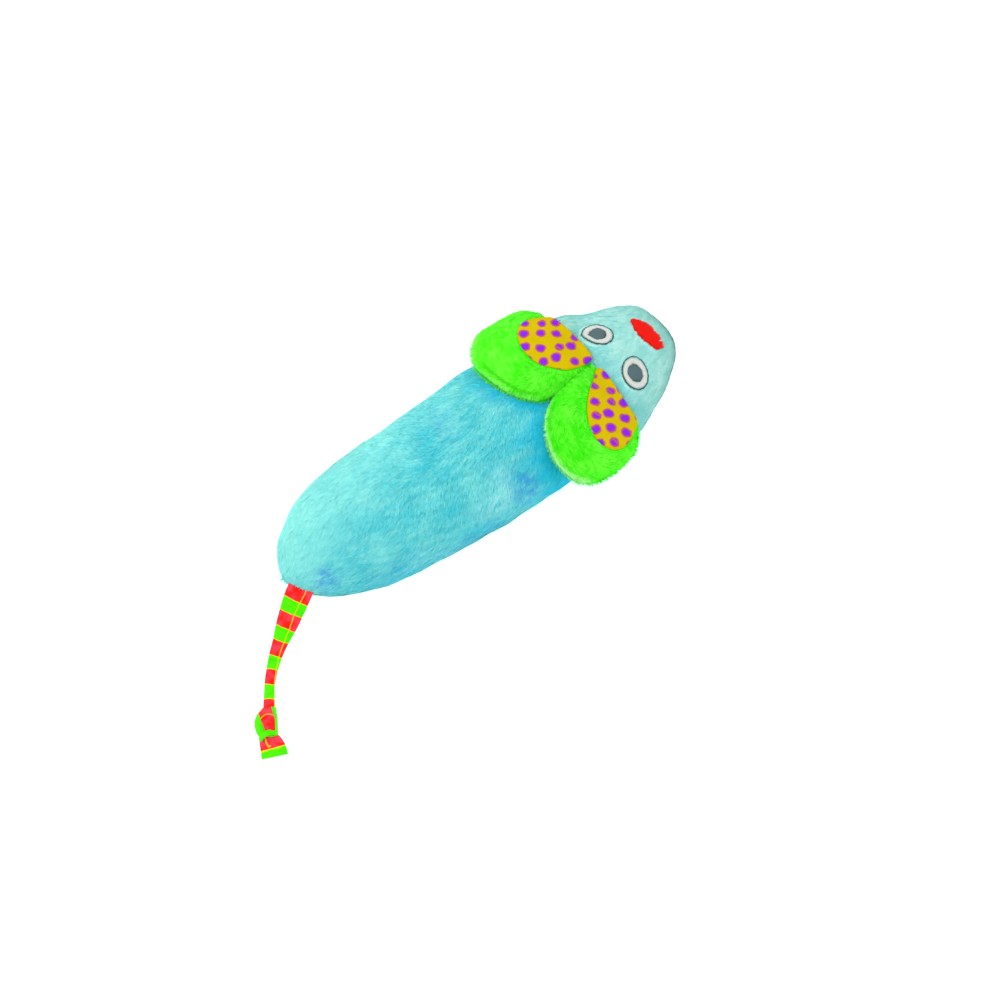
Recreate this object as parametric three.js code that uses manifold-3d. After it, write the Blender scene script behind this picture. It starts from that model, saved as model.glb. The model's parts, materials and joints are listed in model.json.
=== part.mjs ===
// A plush mouse cat toy, life size, in millimetres. +X is forward to the snout, +Y is the mouse's
// left and +Z is up. The origin is on the flat that the belly rests on, under the body's middle.
// The toy is a stuffed body and head of two plush panels each, two padded ears that flap at the
// neck seam, and a striped ribbon tail with an overhand knot near its end.
import * as THREE from "three";
import { mergeVertices } from "three/addons/utils/BufferGeometryUtils.js";
import Module from "manifold-3d";

const wasm = await Module();
wasm.setup();

// Cloth, threads and clearances
const plushThickness = 1.6;
const threadDiameter = 1;
const fineThreadDiameter = 0.6;
const clearance = 0.3;
const cutOverrun = 4;

// Body, from the rump's tip to the neck seam
const bodyLength = 181.45;
const bodyHalfWidth = 35.5;
const bodyHeight = 44;
const rumpRoundLength = 50;
const rumpLean = 1.4;
const rumpLeanStart = 10;
const bellyFlatDepth = 0.5;
const bodyStations = 18;
const bodyRoundStationsShare = 0.45;

// Neck, where the body and the head have one section
const neckX = 93;
const rumpX = neckX - bodyLength;
const neckHalfWidth = 34.3;
const neckTop = 34;
const neckUnder = 3.9;
const seamHeight = 20;
const neckSeamWidth = 1.6;

// Head, which leans a little to the left
const headLength = 41.15;
const snoutRoundLength = 9;
const headLean = 5.2;
const headLeanStart = 10;
const headStations = 12;
const headStraightStationsShare = 0.6;

// How the sections change, as pairs of the share along and the share of the size
const bodyWideShares = [
  [0, 0.78], [0.24, 0.86], [0.48, 0.955], [0.72, 1], [0.88, 0.99], [1, neckHalfWidth / bodyHalfWidth],
];
const bodyTopShares = [[0, 0.8], [0.22, 0.92], [0.45, 1], [0.68, 1], [0.86, 0.92], [1, neckTop / bodyHeight]];
const bodyUnderShares = [[0, 0], [0.84, 0], [1, 1]];
const bodySeamShares = [[0, 0.94], [0.3, 1], [1, 1]];
const headWideShares = [
  [0, 1], [0.1, 0.97], [0.24, 0.893], [0.38, 0.812], [0.5, 0.757], [0.61, 0.695], [0.72, 0.605],
  [0.84, 0.52], [1, 0.5],
];
const headTopShares = [[0, 1], [0.12, 1.02], [0.3, 0.973], [0.52, 0.896], [0.74, 0.813], [1, 0.72]];
const headUnderShares = [[0, 1], [0.22, 0.24], [0.4, 0], [0.75, 0], [1, 0.8]];
const headSeamShares = [[0, 1], [0.4, 0.9], [1, 0.74]];
const sectionSteps = 14;
const sectionPower = 2.15;

// Ears, measured back from the neck seam and out from the middle of the neck
const leftEarLength = 48.8;
const rightEarLength = 43.6;
const earMiddle = 22.5;
const earInnerWidth = 21.9;
const leftEarOuterWidth = 28.3;
const rightEarOuterWidth = 22.4;
const earRootShift = 2.25;
const earShearShare = 0.2;
const earThickness = 8.5;
const earEdgeThickness = 2.4;
const earRootRise = 14;
const earRootThinShare = 0.3;
const earFlare = 15;
const earGap = 0.9;
const earTabDepth = 2.2;
const leftEarTabReach = 3;
const rightEarTabReach = 12;
const earLength = { left: leftEarLength, right: rightEarLength };
const earOuterWidth = { left: leftEarOuterWidth, right: rightEarOuterWidth };
const earTabReach = { left: leftEarTabReach, right: rightEarTabReach };
const leftEarOutlineShares = [
  [0, -0.94], [0.01, -0.5], [0.04, 0], [0.1, 0.37], [0.25, 0.745], [0.42, 0.895], [0.632, 0.954],
  [0.737, 1], [0.85, 0.925], [0.955, 0.72], [1, 0.53], [0.96, 0.17], [0.875, -0.29], [0.78, -0.62],
  [0.65, -0.89], [0.45, -1], [0.1, -1],
];
const rightEarOutlineShares = [
  [0, -0.94], [0, -0.2], [0, 0.5], [0.01, 0.7], [0.08, 0.85], [0.2, 0.96], [0.38, 1.01], [0.6, 0.955],
  [0.78, 0.84], [0.93, 0.61], [1, 0.2], [0.99, -0.2], [0.9, -0.57], [0.8, -0.78], [0.66, -0.93],
  [0.48, -1], [0.1, -1],
];
const earOutlineShares = { left: leftEarOutlineShares, right: rightEarOutlineShares };
const earOutlinePoints = 28;
const earRingShares = [0, 0.45, 0.76, 0.93, 1];
const battingReachShare = 0.86;

// Ear linings: petals that end at the neck seam
const leftLiningLength = 27;
const rightLiningLength = 23.3;
const liningLength = { left: leftLiningLength, right: rightLiningLength };
const liningOutlinePoints = 24;
const leftLiningOutlineShares = [
  [-0.06, -0.86], [-0.04, -0.3], [0.05, 0.14], [0.16, 0.36], [0.3, 0.41], [0.45, 0.49], [0.61, 0.555],
  [0.77, 0.54], [0.9, 0.43], [0.98, 0.25], [1, 0.07], [0.97, -0.17], [0.88, -0.41], [0.7, -0.63],
  [0.48, -0.77], [0.2, -0.85],
];
const rightLiningOutlineShares = [
  [-0.06, -0.8], [-0.06, 0], [-0.06, 0.58], [0.05, 0.65], [0.2, 0.74], [0.42, 0.845], [0.64, 0.835],
  [0.83, 0.715], [0.95, 0.51], [1, 0.31], [0.95, 0.06], [0.84, -0.18], [0.67, -0.39], [0.457, -0.57],
  [0.2, -0.72],
];
const liningOutlineShares = { left: leftLiningOutlineShares, right: rightLiningOutlineShares };

// Eyes and nose, embroidered on the upper head panel
const eyeForward = 11.5;
const eyeSpacing = 26.8;
const eyeLength = 16.4;
const eyeWidth = 12.8;
const eyeSweepDeg = 33;
const eyeOutlineWidth = 0.8;
const pupilLength = 8.8;
const pupilWidth = 6.8;
const noseForward = 30.3;
const noseSide = -1.35;
const noseLength = 21;
const noseWidth = 8.6;
const noseFrontShare = 0.58;
const stitchHeight = 1;
const faceTurnDeg = 8;
const faceSide = -0.75;
const patchPoints = 18;
const patchRingShares = [0, 0.62, 1];

// Tail: a striped ribbon that is flat at the rump and gathers as it comes to the knot
const tailReach = 57;
const tailRootHeight = 19;
const tailRootAhead = 0.6;
const tailRootSide = 8.6;
const tailRouteShares = [
  [0, 0, 1], [0.122, 0.085, 0.72], [0.269, 0.187, 0.36], [0.422, 0.3, 0.165],
  [0.569, 0.443, 0.137], [0.658, 0.563, 0.153], [0.71, 0.6385, 0.2],
];
const ribbonWidth = 13.6;
const ribbonWidthShares = [
  [0, 0.93], [0.11, 0.88], [0.26, 0.78], [0.36, 0.66], [0.44, 0.53], [0.56, 0.44], [0.7, 0.36],
  [0.83, 0.33], [1, 0.38],
];
const ribbonThickness = 1.8;
const ribbonGatheredThickness = 3.4;
const gatheredByShare = 0.78;
const ribbonSides = 10;
const ribbonFlatness = 0.55;
const ribbonSteps = 20;
const tailBendShare = 0.36;
const tailSwingShare = 0.78;
const tailTabDepth = 9;
const swingNoseDegs = [8, 30, 55];

// Knot and the flared end that hangs out of it
const knotLength = 13.2;
const knotWidth = 11.5;
const knotHeight = 8.4;
const knotSideways = 0.9;
const wrapDiameter = 3.4;
const wrapTiltDeg = 24;
const knotSteps = 14;
const wrapSides = 8;
const tailEndLength = 9.6;
const tailEndWidth = 13.4;
const tailEndNeckWidth = 9.4;
const tailEndThickness = 1.8;
const tailEndHeadingDeg = -106;
const tailEndGap = 0.8;
const tailEndSteps = 5;

// Filling, the pouch in it, and the seams' threads
const pouchLength = 44;
const pouchWidth = 30;
const pouchHeight = 12;
const pouchX = -8;
const pouchSteps = 16;
const seamDrop = 2.4;
const seamThreadSteps = 36;
const neckThreadSteps = 30;
const closingStitches = 7;
const stepsAStitch = 6;
const closingLength = 42;
const closingX = -30;
const closingTurnDeg = 5;

// Materials
const cloth = (color, roughness) => new THREE.MeshStandardMaterial({ color, roughness, metalness: 0 });
const materials = {
  bodyPlush: cloth(0x5fcfd6, 0.95),
  headPlush: cloth(0xa6dcda, 0.95),
  earPlush: cloth(0x52e02a, 0.95),
  dottedCotton: cloth(0xe3c31a, 0.85),
  redRibbon: cloth(0xee2f2a, 0.6),
  greenRibbon: cloth(0x5df010, 0.6),
  whiteThread: cloth(0xf0ece8, 0.7),
  greyThread: cloth(0x5e7478, 0.7),
  darkThread: cloth(0x35525a, 0.7),
  redThread: cloth(0xf02208, 0.7),
  seamThread: cloth(0x6cc8d0, 0.8),
  filling: cloth(0xf4f4f0, 1),
  pouchCotton: cloth(0xe6ddc4, 0.9),
};

// Small maths helpers
const clamp01 = (t) => Math.min(1, Math.max(0, t));
const smooth = (t) => clamp01(t) ** 2 * (3 - 2 * clamp01(t));
const blend = (a, b, t) => a + (b - a) * t;
const radians = (degrees) => (degrees * Math.PI) / 180;
const halfOf = (size) => size / 2;
const signedPower = (value, power) => Math.sign(value) * Math.abs(value) ** power;
const superRoot = (share) => (1 - Math.min(1, Math.abs(share)) ** sectionPower) ** (1 / sectionPower);

// A smooth value from a table of pairs.
function fromShares(table, along) {
  const at = clamp01(along);
  let i = 0;
  while (i < table.length - 2 && at > table[i + 1][0]) i += 1;
  const [a, b] = [table[i], table[i + 1]];
  const before = table[Math.max(0, i - 1)];
  const after = table[Math.min(table.length - 1, i + 2)];
  const span = b[0] - a[0];
  const t = (at - a[0]) / span;
  const slopeA = before === a ? (b[1] - a[1]) / span : (b[1] - before[1]) / (b[0] - before[0]);
  const slopeB = after === b ? (b[1] - a[1]) / span : (after[1] - a[1]) / (after[0] - a[0]);
  const [t2, t3] = [t * t, t * t * t];
  return (2 * t3 - 3 * t2 + 1) * a[1] + (t3 - 2 * t2 + t) * span * slopeA
    + (3 * t2 - 2 * t3) * b[1] + (t3 - t2) * span * slopeB;
}

// How far the middle of the toy lies to the left at a place along it.
function leanAt(x) {
  const head = Math.max(0, (x - neckX + headLeanStart) / (headLength + headLeanStart));
  const rump = Math.max(0, (x + rumpLeanStart) / (rumpX + rumpLeanStart));
  return headLean * head ** 2 + rumpLean * rump;
}

// The roundness of an end: 0 at its tip and 1 where the full section starts.
const roundness = (fromTip, length) => Math.sqrt(Math.max(0, 1 - Math.max(0, 1 - fromTip / length) ** 2));

// A section from its size at one place, with the roundness of the end that it is near.
function sectionOf(x, halfWidth, seam, top, under, round, inset) {
  return {
    x,
    seam,
    halfWidth: (halfWidth - inset) * round,
    top: seam + (top - inset - seam) * round,
    under: seam - (seam - under - inset) * round,
    floor: inset,
  };
}

// The body's section at a distance from the rump's tip, inset by a wall.
function bodySection(fromTip, inset = 0) {
  const along = fromTip / bodyLength;
  const belly = (neckUnder + bellyFlatDepth) * fromShares(bodyUnderShares, along) - bellyFlatDepth;
  return sectionOf(
    rumpX + fromTip,
    bodyHalfWidth * fromShares(bodyWideShares, along),
    seamHeight * fromShares(bodySeamShares, along),
    bodyHeight * fromShares(bodyTopShares, along),
    belly,
    roundness(fromTip - inset, rumpRoundLength - inset),
    inset,
  );
}

// The head's section at a distance from the neck seam, inset by a wall.
function headSection(fromNeck, inset = 0) {
  const along = fromNeck / headLength;
  const chin = (neckUnder + bellyFlatDepth) * fromShares(headUnderShares, along) - bellyFlatDepth;
  return sectionOf(
    neckX + fromNeck,
    neckHalfWidth * fromShares(headWideShares, along),
    seamHeight * fromShares(headSeamShares, along),
    neckTop * fromShares(headTopShares, along),
    chin,
    roundness(headLength - inset - fromNeck, snoutRoundLength - inset),
    inset,
  );
}

// A point on a section. Angles from 0 to pi go over the top from right to left, and on round the
// underside, which is cut flat at the floor.
function onSection(section, angle, lift = 0) {
  const across = -signedPower(Math.cos(angle), 2 / sectionPower);
  const up = signedPower(Math.sin(angle), 2 / sectionPower);
  const reach = up >= 0 ? section.top - section.seam : section.seam - section.under;
  const z = section.seam + up * reach + lift;
  return new THREE.Vector3(
    section.x,
    leanAt(section.x) + across * section.halfWidth,
    Math.max(z, section.floor),
  );
}

// The height of a section's upper skin at a sideways place, or that of a wider section.
function skinHeight(section, y, wider = 0) {
  const share = (y - leanAt(section.x)) / (section.halfWidth + wider);
  return section.seam + (section.top - section.seam) * superRoot(share);
}

// A closed geometry from points and triangles, facing out, with its collapsed triangles left out.
function closedGeometry(points, triangles) {
  const bare = new THREE.BufferGeometry().setFromPoints(points);
  bare.setIndex(triangles);
  const merged = mergeVertices(bare, 1e-3);
  const index = Array.from(merged.index.array);
  const kept = [];
  for (let i = 0; i < index.length; i += 3) {
    const [a, b, c] = index.slice(i, i + 3);
    if (a !== b && b !== c && c !== a) kept.push(a, b, c);
  }
  const at = (i) => new THREE.Vector3().fromBufferAttribute(merged.attributes.position, i);
  let volume = 0;
  for (let i = 0; i < kept.length; i += 3)
    volume += at(kept[i]).dot(at(kept[i + 1]).cross(at(kept[i + 2])));
  if (volume < 0)
    for (let i = 0; i < kept.length; i += 3) [kept[i + 1], kept[i + 2]] = [kept[i + 2], kept[i + 1]];
  merged.setIndex(kept);
  return merged;
}

// A solid between two open sheets of points, each a function of a row and a column share.
function sheetSolid(rows, columns, outer, inner) {
  const points = [];
  for (const sheet of [outer, inner])
    for (let i = 0; i <= rows; i += 1)
      for (let j = 0; j <= columns; j += 1) points.push(sheet(i / rows, j / columns));
  const at = (layer, i, j) => (layer * (rows + 1) + i) * (columns + 1) + j;
  const triangles = [];
  const quad = (a, b, c, d) => triangles.push(a, b, c, a, c, d);
  for (let i = 0; i < rows; i += 1) {
    for (let j = 0; j < columns; j += 1) {
      quad(at(0, i, j), at(0, i + 1, j), at(0, i + 1, j + 1), at(0, i, j + 1));
      quad(at(1, i, j), at(1, i, j + 1), at(1, i + 1, j + 1), at(1, i + 1, j));
    }
    quad(at(0, i, 0), at(1, i, 0), at(1, i + 1, 0), at(0, i + 1, 0));
    quad(at(0, i, columns), at(0, i + 1, columns), at(1, i + 1, columns), at(1, i, columns));
  }
  for (let j = 0; j < columns; j += 1) {
    quad(at(0, 0, j), at(0, 0, j + 1), at(1, 0, j + 1), at(1, 0, j));
    quad(at(0, rows, j), at(1, rows, j), at(1, rows, j + 1), at(0, rows, j + 1));
  }
  return closedGeometry(points, triangles);
}

// A solid through closed rings of points, capped at both ends.
function ringSolid(rings) {
  const sides = rings[0].length;
  const triangles = [];
  for (let i = 0; i < rings.length - 1; i += 1)
    for (let j = 0; j < sides; j += 1) {
      const [a, b] = [i * sides + j, i * sides + ((j + 1) % sides)];
      const [c, d] = [b + sides, a + sides];
      triangles.push(a, b, c, a, c, d);
    }
  const last = (rings.length - 1) * sides;
  for (let j = 1; j < sides - 1; j += 1) {
    triangles.push(0, j + 1, j);
    triangles.push(last, last + j, last + j + 1);
  }
  return closedGeometry(rings.flat(), triangles);
}

// A pad over a plan outline, between two heights that are functions of x, y and the share out
// from the outline's middle. Its rings go up over the top and back under.
function padSolid(outline, ringShares, topAt, underAt) {
  const middle = outline.reduce((sum, p) => sum.add(p), new THREE.Vector2()).divideScalar(outline.length);
  const ring = (share, heightAt) => outline.map((p) => {
    const at = middle.clone().lerp(p, share);
    return new THREE.Vector3(at.x, at.y, heightAt(at.x, at.y, share));
  });
  const upper = ringShares.map((share) => ring(share, topAt));
  const lower = ringShares.map((share) => ring(share, underAt)).reverse();
  return ringSolid([...upper, ...lower]);
}

// A round thread along a curve.
function threadSolid(curve, diameter, steps) {
  const sides = 5;
  const { normals, binormals } = curve.computeFrenetFrames(steps, false);
  const rings = normals.map((normal, i) => Array.from({ length: sides }, (_, j) => {
    const angle = (2 * Math.PI * j) / sides;
    return curve.getPointAt(i / steps)
      .addScaledVector(normal, halfOf(diameter) * Math.cos(angle))
      .addScaledVector(binormals[i], halfOf(diameter) * Math.sin(angle));
  }));
  return ringSolid(rings);
}

// A geometry as a solid for cutting and joining, and back.
function solidOf(geometry) {
  const bare = geometry.clone();
  for (const name of Object.keys(bare.attributes)) if (name !== "position") bare.deleteAttribute(name);
  const merged = mergeVertices(bare, 1e-3);
  return new wasm.Manifold(new wasm.Mesh({
    numProp: 3,
    vertProperties: new Float32Array(merged.attributes.position.array),
    triVerts: new Uint32Array(merged.index.array),
  }));
}

function geometryOf(solid) {
  const mesh = solid.getMesh();
  return new THREE.BufferGeometry()
    .setAttribute("position", new THREE.BufferAttribute(new Float32Array(mesh.vertProperties), 3))
    .setIndex(new THREE.BufferAttribute(new Uint32Array(mesh.triVerts), 1));
}

const cut = (geometry, ...tools) =>
  geometryOf(tools.reduce((solid, tool) => solid.subtract(solidOf(tool)), solidOf(geometry)));
const keepInside = (geometry, tool) => geometryOf(solidOf(geometry).intersect(solidOf(tool)));
const join = (first, second) => geometryOf(solidOf(first).add(solidOf(second)));

// An upright prism over a plan outline, tall enough to cut anything on the toy.
function prism(outline) {
  const reach = bodyHeight + headLength;
  const tall = { depth: 2 * reach, bevelEnabled: false };
  return new THREE.ExtrudeGeometry(new THREE.Shape(outline), tall).translate(0, 0, -reach);
}

// A plan outline grown or shrunk by a margin.
function offsetOutline(outline, margin) {
  return outline.map((p, i) => {
    const before = outline[(i + outline.length - 1) % outline.length];
    const after = outline[(i + 1) % outline.length];
    const along = after.clone().sub(before).normalize();
    const turn = Math.sign(THREE.ShapeUtils.area(outline));
    return p.clone().add(new THREE.Vector2(along.y, -along.x).multiplyScalar(turn * margin));
  });
}

const toy = new THREE.Group();
function addPiece(name, geometry, material) {
  const mesh = new THREE.Mesh(geometry, material);
  mesh.name = name;
  toy.add(mesh);
}

// Distances along the body and the head, closer together on the round ends.
function bodyDistance(share, inset) {
  const end = bodyLength - halfOf(neckSeamWidth);
  const round = rumpRoundLength - inset;
  if (share < bodyRoundStationsShare)
    return inset + round * (1 - Math.cos((Math.PI / 2) * (share / bodyRoundStationsShare)));
  return blend(rumpRoundLength, end, (share - bodyRoundStationsShare) / (1 - bodyRoundStationsShare));
}

function headDistance(share, inset) {
  const start = halfOf(neckSeamWidth);
  const roundStart = headLength - snoutRoundLength;
  const round = snoutRoundLength - inset;
  if (share < headStraightStationsShare) return blend(start, roundStart, share / headStraightStationsShare);
  const turn = (share - headStraightStationsShare) / (1 - headStraightStationsShare);
  return roundStart + round * Math.sin((Math.PI / 2) * turn);
}

// One plush panel of a form: its upper half, or its lower half when it is below.
function panel(sectionAt, distanceAt, stations, below) {
  const turn = below ? Math.PI : 0;
  const lift = (below ? -1 : 1) * halfOf(clearance);
  const skin = (inset) => (along, around) =>
    onSection(sectionAt(distanceAt(along, inset), inset), turn + Math.PI * around, lift);
  return sheetSolid(stations, sectionSteps, skin(0), skin(plushThickness));
}

// The stuffing of a form: its whole section, inset under the plush.
function stuffing(sectionAt, distanceAt, stations) {
  const inset = plushThickness + clearance;
  const sides = sectionSteps + 2;
  const rings = [];
  for (let i = 0; i <= stations; i += 1) {
    const section = sectionAt(distanceAt(i / stations, inset), inset);
    rings.push(Array.from({ length: sides }, (_, j) => onSection(section, (2 * Math.PI * j) / sides)));
  }
  return ringSolid(rings);
}

// The line of the stitching inside a form, a little under its side seam.
function seamPath(sectionAt, distanceAt, stations) {
  const inset = plushThickness + clearance + halfOf(threadDiameter);
  const [right, left] = [[], []];
  for (let i = 0; i <= stations; i += 1) {
    const section = sectionAt(distanceAt(i / stations, inset), inset);
    const reach = section.seam - section.under;
    if (reach <= seamDrop) continue;
    const out = section.halfWidth * superRoot(seamDrop / reach);
    const z = section.seam - seamDrop;
    right.push(new THREE.Vector3(section.x, leanAt(section.x) - out, z));
    left.push(new THREE.Vector3(section.x, leanAt(section.x) + out, z));
  }
  return new THREE.CatmullRomCurve3([...right.reverse(), ...left]);
}

// The head's line starts at the neck, so its two sides meet at the snout.
function headSeamPath() {
  const snoutFirst = (share, inset) => headDistance(1 - share, inset);
  return seamPath(headSection, snoutFirst, headStations);
}

// Tail route, with its root on the rump's side seam
const tailRoot = new THREE.Vector3(rumpX + tailRootAhead, -tailRootSide, tailRootHeight);
const tailCurve = new THREE.CatmullRomCurve3(tailRouteShares.map(([back, side, height]) => new THREE.Vector3(
  tailRoot.x - back * tailReach,
  tailRoot.y - side * tailReach,
  height * tailRootHeight,
)));
const upward = new THREE.Vector3(0, 0, 1);
const ribbonWidthAt = (along) => ribbonWidth * fromShares(ribbonWidthShares, along);

// A flat, rounded ring of ribbon across a heading.
function ribbonRing(centre, ahead, width, thickness) {
  const across = upward.clone().cross(ahead).normalize();
  const up = ahead.clone().cross(across).normalize();
  return Array.from({ length: ribbonSides }, (_, i) => {
    const angle = (2 * Math.PI * (i + 0.5)) / ribbonSides;
    return centre.clone()
      .addScaledVector(across, halfOf(width) * signedPower(Math.cos(angle), ribbonFlatness))
      .addScaledVector(up, halfOf(thickness) * signedPower(Math.sin(angle), ribbonFlatness));
  });
}

// A stretch of the ribbon between two shares of its length, clear of its neighbours. Its start is
// round in plan where it swings sideways.
function ribbonStretch(fromShare, toShare, roundStart = 0) {
  const gapShare = halfOf(clearance) / tailCurve.getLength();
  const [start, end] = [fromShare + gapShare, toShare - gapShare];
  const roundShare = roundStart / tailCurve.getLength();
  const count = Math.max(3, Math.round(ribbonSteps * (toShare - fromShare)));
  const noseTurns = roundStart ? swingNoseDegs.map(radians) : [];
  const places = noseTurns.map((turn) => [start + roundShare * (1 - Math.cos(turn)), Math.sin(turn)]);
  for (let i = 0; i <= count; i += 1) places.push([blend(start + roundShare, end, i / count), 1]);
  return ringSolid(places.map(([along, wide]) => {
    const gather = smooth(along / gatheredByShare);
    return ribbonRing(
      tailCurve.getPointAt(along),
      tailCurve.getTangentAt(along),
      wide * ribbonWidthAt(along),
      blend(ribbonThickness, ribbonGatheredThickness, gather),
    );
  }));
}

// The start of the ribbon lies level in the rump seam. A margin grows it into a cutting tool.
function tailTab(margin) {
  const ahead = tailCurve.getTangentAt(0).setZ(0).normalize();
  const from = tailRoot.clone().addScaledVector(ahead, -tailTabDepth - margin);
  const to = tailRoot.clone().addScaledVector(ahead, margin ? cutOverrun : -halfOf(ribbonThickness));
  const [wide, thick] = [ribbonWidthAt(0) + 2 * margin, ribbonThickness + 2 * margin];
  return ringSolid([ribbonRing(from, ahead, wide, thick), ribbonRing(to, ahead, wide, thick)]);
}

// Body
function addBody() {
  const tabRoom = tailTab(clearance);
  const thread = seamPath(bodySection, bodyDistance, bodyStations);
  const threadRoom = threadSolid(thread, threadDiameter + 2 * clearance, seamThreadSteps);
  const pouchLow = plushThickness + clearance;
  const pouch = new THREE.SphereGeometry(1, pouchSteps, halfOf(pouchSteps));
  pouch.scale(halfOf(pouchLength), halfOf(pouchWidth), halfOf(pouchHeight));
  pouch.translate(pouchX, 0, pouchLow + halfOf(pouchHeight));
  const pocket = new THREE.BoxGeometry(
    pouchLength + 2 * clearance,
    pouchWidth + 2 * clearance,
    pouchHeight + clearance + cutOverrun,
  );
  pocket.translate(pouchX, 0, pouchLow + halfOf(pouchHeight + clearance - cutOverrun));
  const back = panel(bodySection, bodyDistance, bodyStations, false);
  const belly = panel(bodySection, bodyDistance, bodyStations, true);
  const filling = stuffing(bodySection, bodyDistance, halfOf(bodyStations));
  addPiece("back_panel", cut(back, tabRoom), materials.bodyPlush);
  addPiece("belly_panel", cut(belly, tabRoom), materials.bodyPlush);
  addPiece("body_filling", cut(filling, tabRoom, threadRoom, pocket), materials.filling);
  addPiece("catnip_pouch", pouch, materials.pouchCotton);
  addPiece("body_seam_thread", threadSolid(thread, threadDiameter, seamThreadSteps), materials.seamThread);
}

// Ladder stitches that close the stuffing opening, on the left side seam
function addClosingStitches() {
  const outset = -clearance - halfOf(fineThreadDiameter);
  const points = Array.from({ length: 2 * closingStitches + 1 }, (_, i) => {
    const x = closingX + closingLength * (i / (2 * closingStitches) - 1 / 2);
    const side = i % 2 ? 1 : -1;
    return onSection(bodySection(x - rumpX, outset), Math.PI + side * radians(closingTurnDeg));
  });
  const steps = stepsAStitch * closingStitches;
  const stitches = threadSolid(new THREE.CatmullRomCurve3(points), fineThreadDiameter, steps);
  addPiece("closing_stitches", stitches, materials.seamThread);
}

// Head
function addHead() {
  const thread = headSeamPath();
  const threadRoom = threadSolid(thread, threadDiameter + 2 * clearance, seamThreadSteps);
  const filling = stuffing(headSection, headDistance, halfOf(headStations));
  addPiece("head_top_panel", panel(headSection, headDistance, headStations, false), materials.headPlush);
  addPiece("head_under_panel", panel(headSection, headDistance, headStations, true), materials.headPlush);
  addPiece("head_filling", cut(filling, threadRoom), materials.filling);
  addPiece("head_seam_thread", threadSolid(thread, threadDiameter, seamThreadSteps), materials.seamThread);
}

// The neck seam's thread runs in the gap between the body and the head, inside the ears' tabs.
function addNeckThread() {
  const inset = earTabDepth + clearance + halfOf(threadDiameter);
  const section = { ...bodySection(bodyLength, inset), x: neckX };
  const endTurn = radians(closingTurnDeg);
  const points = Array.from({ length: neckThreadSteps + 1 }, (_, i) =>
    onSection(section, -Math.PI / 2 + endTurn + (2 * Math.PI - 2 * endTurn) * (i / neckThreadSteps)));
  const ring = threadSolid(new THREE.CatmullRomCurve3(points), threadDiameter, neckThreadSteps);
  addPiece("neck_seam_thread", ring, materials.seamThread);
}

// A point of an ear's plan: back from its root and out from its middle, on side 1 for left.
function earPlan(side, back, out) {
  return new THREE.Vector2(
    neckX - halfOf(neckSeamWidth) - back,
    side * (earMiddle + out) + earRootShift - earShearShare * back,
  );
}

// A smooth plan outline on an ear from shares of a length and of the ear's two widths.
function earOutline(side, word, shares, length, points) {
  const places = shares.map(([back, out]) => {
    const width = out > 0 ? earOuterWidth[word] : earInnerWidth;
    const plan = earPlan(side, back * length, out * width);
    return new THREE.Vector3(plan.x, plan.y, 0);
  });
  const curve = new THREE.CatmullRomCurve3(places, true);
  return curve.getSpacedPoints(points).slice(0, points).map((p) => new THREE.Vector2(p.x, p.y));
}

// The ear's underside lies over the body, wider than it, and its top swells over that.
const earUnderAt = (x, y) => skinHeight(bodySection(x - rumpX), y, earFlare) + earGap;
function earDepthAt(x, share) {
  const rise = blend(earRootThinShare, 1, smooth((neckX - x) / earRootRise));
  return earEdgeThickness + (earThickness - earEdgeThickness) * rise * superRoot(share);
}
const earSkinAt = (x, share) => Math.min(plushThickness, halfOf(earDepthAt(x, share) - clearance));

// An ear's tab stands in the neck seam, from inside the seam up to the ear's root.
function earTab(side, word) {
  const [from, to] = [-earInnerWidth, earTabReach[word]].map((out) => earPlan(side, 0, out).y);
  const neck = bodySection(bodyLength);
  const inner = bodySection(bodyLength, earTabDepth);
  const thick = neckSeamWidth - 2 * clearance;
  const sheet = (front) => (row, column) => {
    const y = blend(from, to, column);
    const low = skinHeight(inner, y);
    const high = skinHeight(neck, y, earFlare) + halfOf(earGap);
    return new THREE.Vector3(neckX + front * halfOf(thick), y, blend(low, high, row));
  };
  const tab = sheetSolid(1, sectionSteps, sheet(1), sheet(-1));
  addPiece(`ear_${word}_seam_tab`, tab, materials.earPlush);
}

// Ears
function addEar(side, word) {
  const outline = earOutline(side, word, earOutlineShares[word], earLength[word], earOutlinePoints);
  const topAt = (x, y, share) => earUnderAt(x, y) + earDepthAt(x, share);
  const backTopAt = (x, y, share) => earUnderAt(x, y) + earSkinAt(x, share);
  const frontUnderAt = (x, y, share) => topAt(x, y, share) - earSkinAt(x, share);
  const back = padSolid(outline, earRingShares, backTopAt, earUnderAt);
  const front = padSolid(outline, earRingShares, topAt, frontUnderAt);
  const middle = outline.reduce((sum, p) => sum.add(p), new THREE.Vector2()).divideScalar(outline.length);
  const inside = outline.map((p) => middle.clone().lerp(p, battingReachShare));
  const wall = plushThickness + 2 * clearance;
  const batting = padSolid(
    inside,
    earRingShares,
    (x, y, share) => topAt(x, y, share * battingReachShare) - wall,
    (x, y) => earUnderAt(x, y) + wall,
  );
  const petal = earOutline(side, word, liningOutlineShares[word], liningLength[word], liningOutlinePoints);
  const lining = keepInside(front, prism(offsetOutline(petal, -clearance)));
  addPiece(`ear_${word}_back`, back, materials.earPlush);
  addPiece(`ear_${word}_front`, cut(front, prism(petal)), materials.earPlush);
  addPiece(`ear_${word}_lining`, lining, materials.dottedCotton);
  addPiece(`ear_${word}_batting`, batting, materials.filling);
  earTab(side, word);
}

// A place on the head: forward from the neck seam and left of its middle, turned with the face.
function onFace(forward, left) {
  const turned = new THREE.Vector2(forward, left).rotateAround(new THREE.Vector2(), radians(faceTurnDeg));
  return turned.add(new THREE.Vector2(neckX, leanAt(neckX) + faceSide));
}

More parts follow.
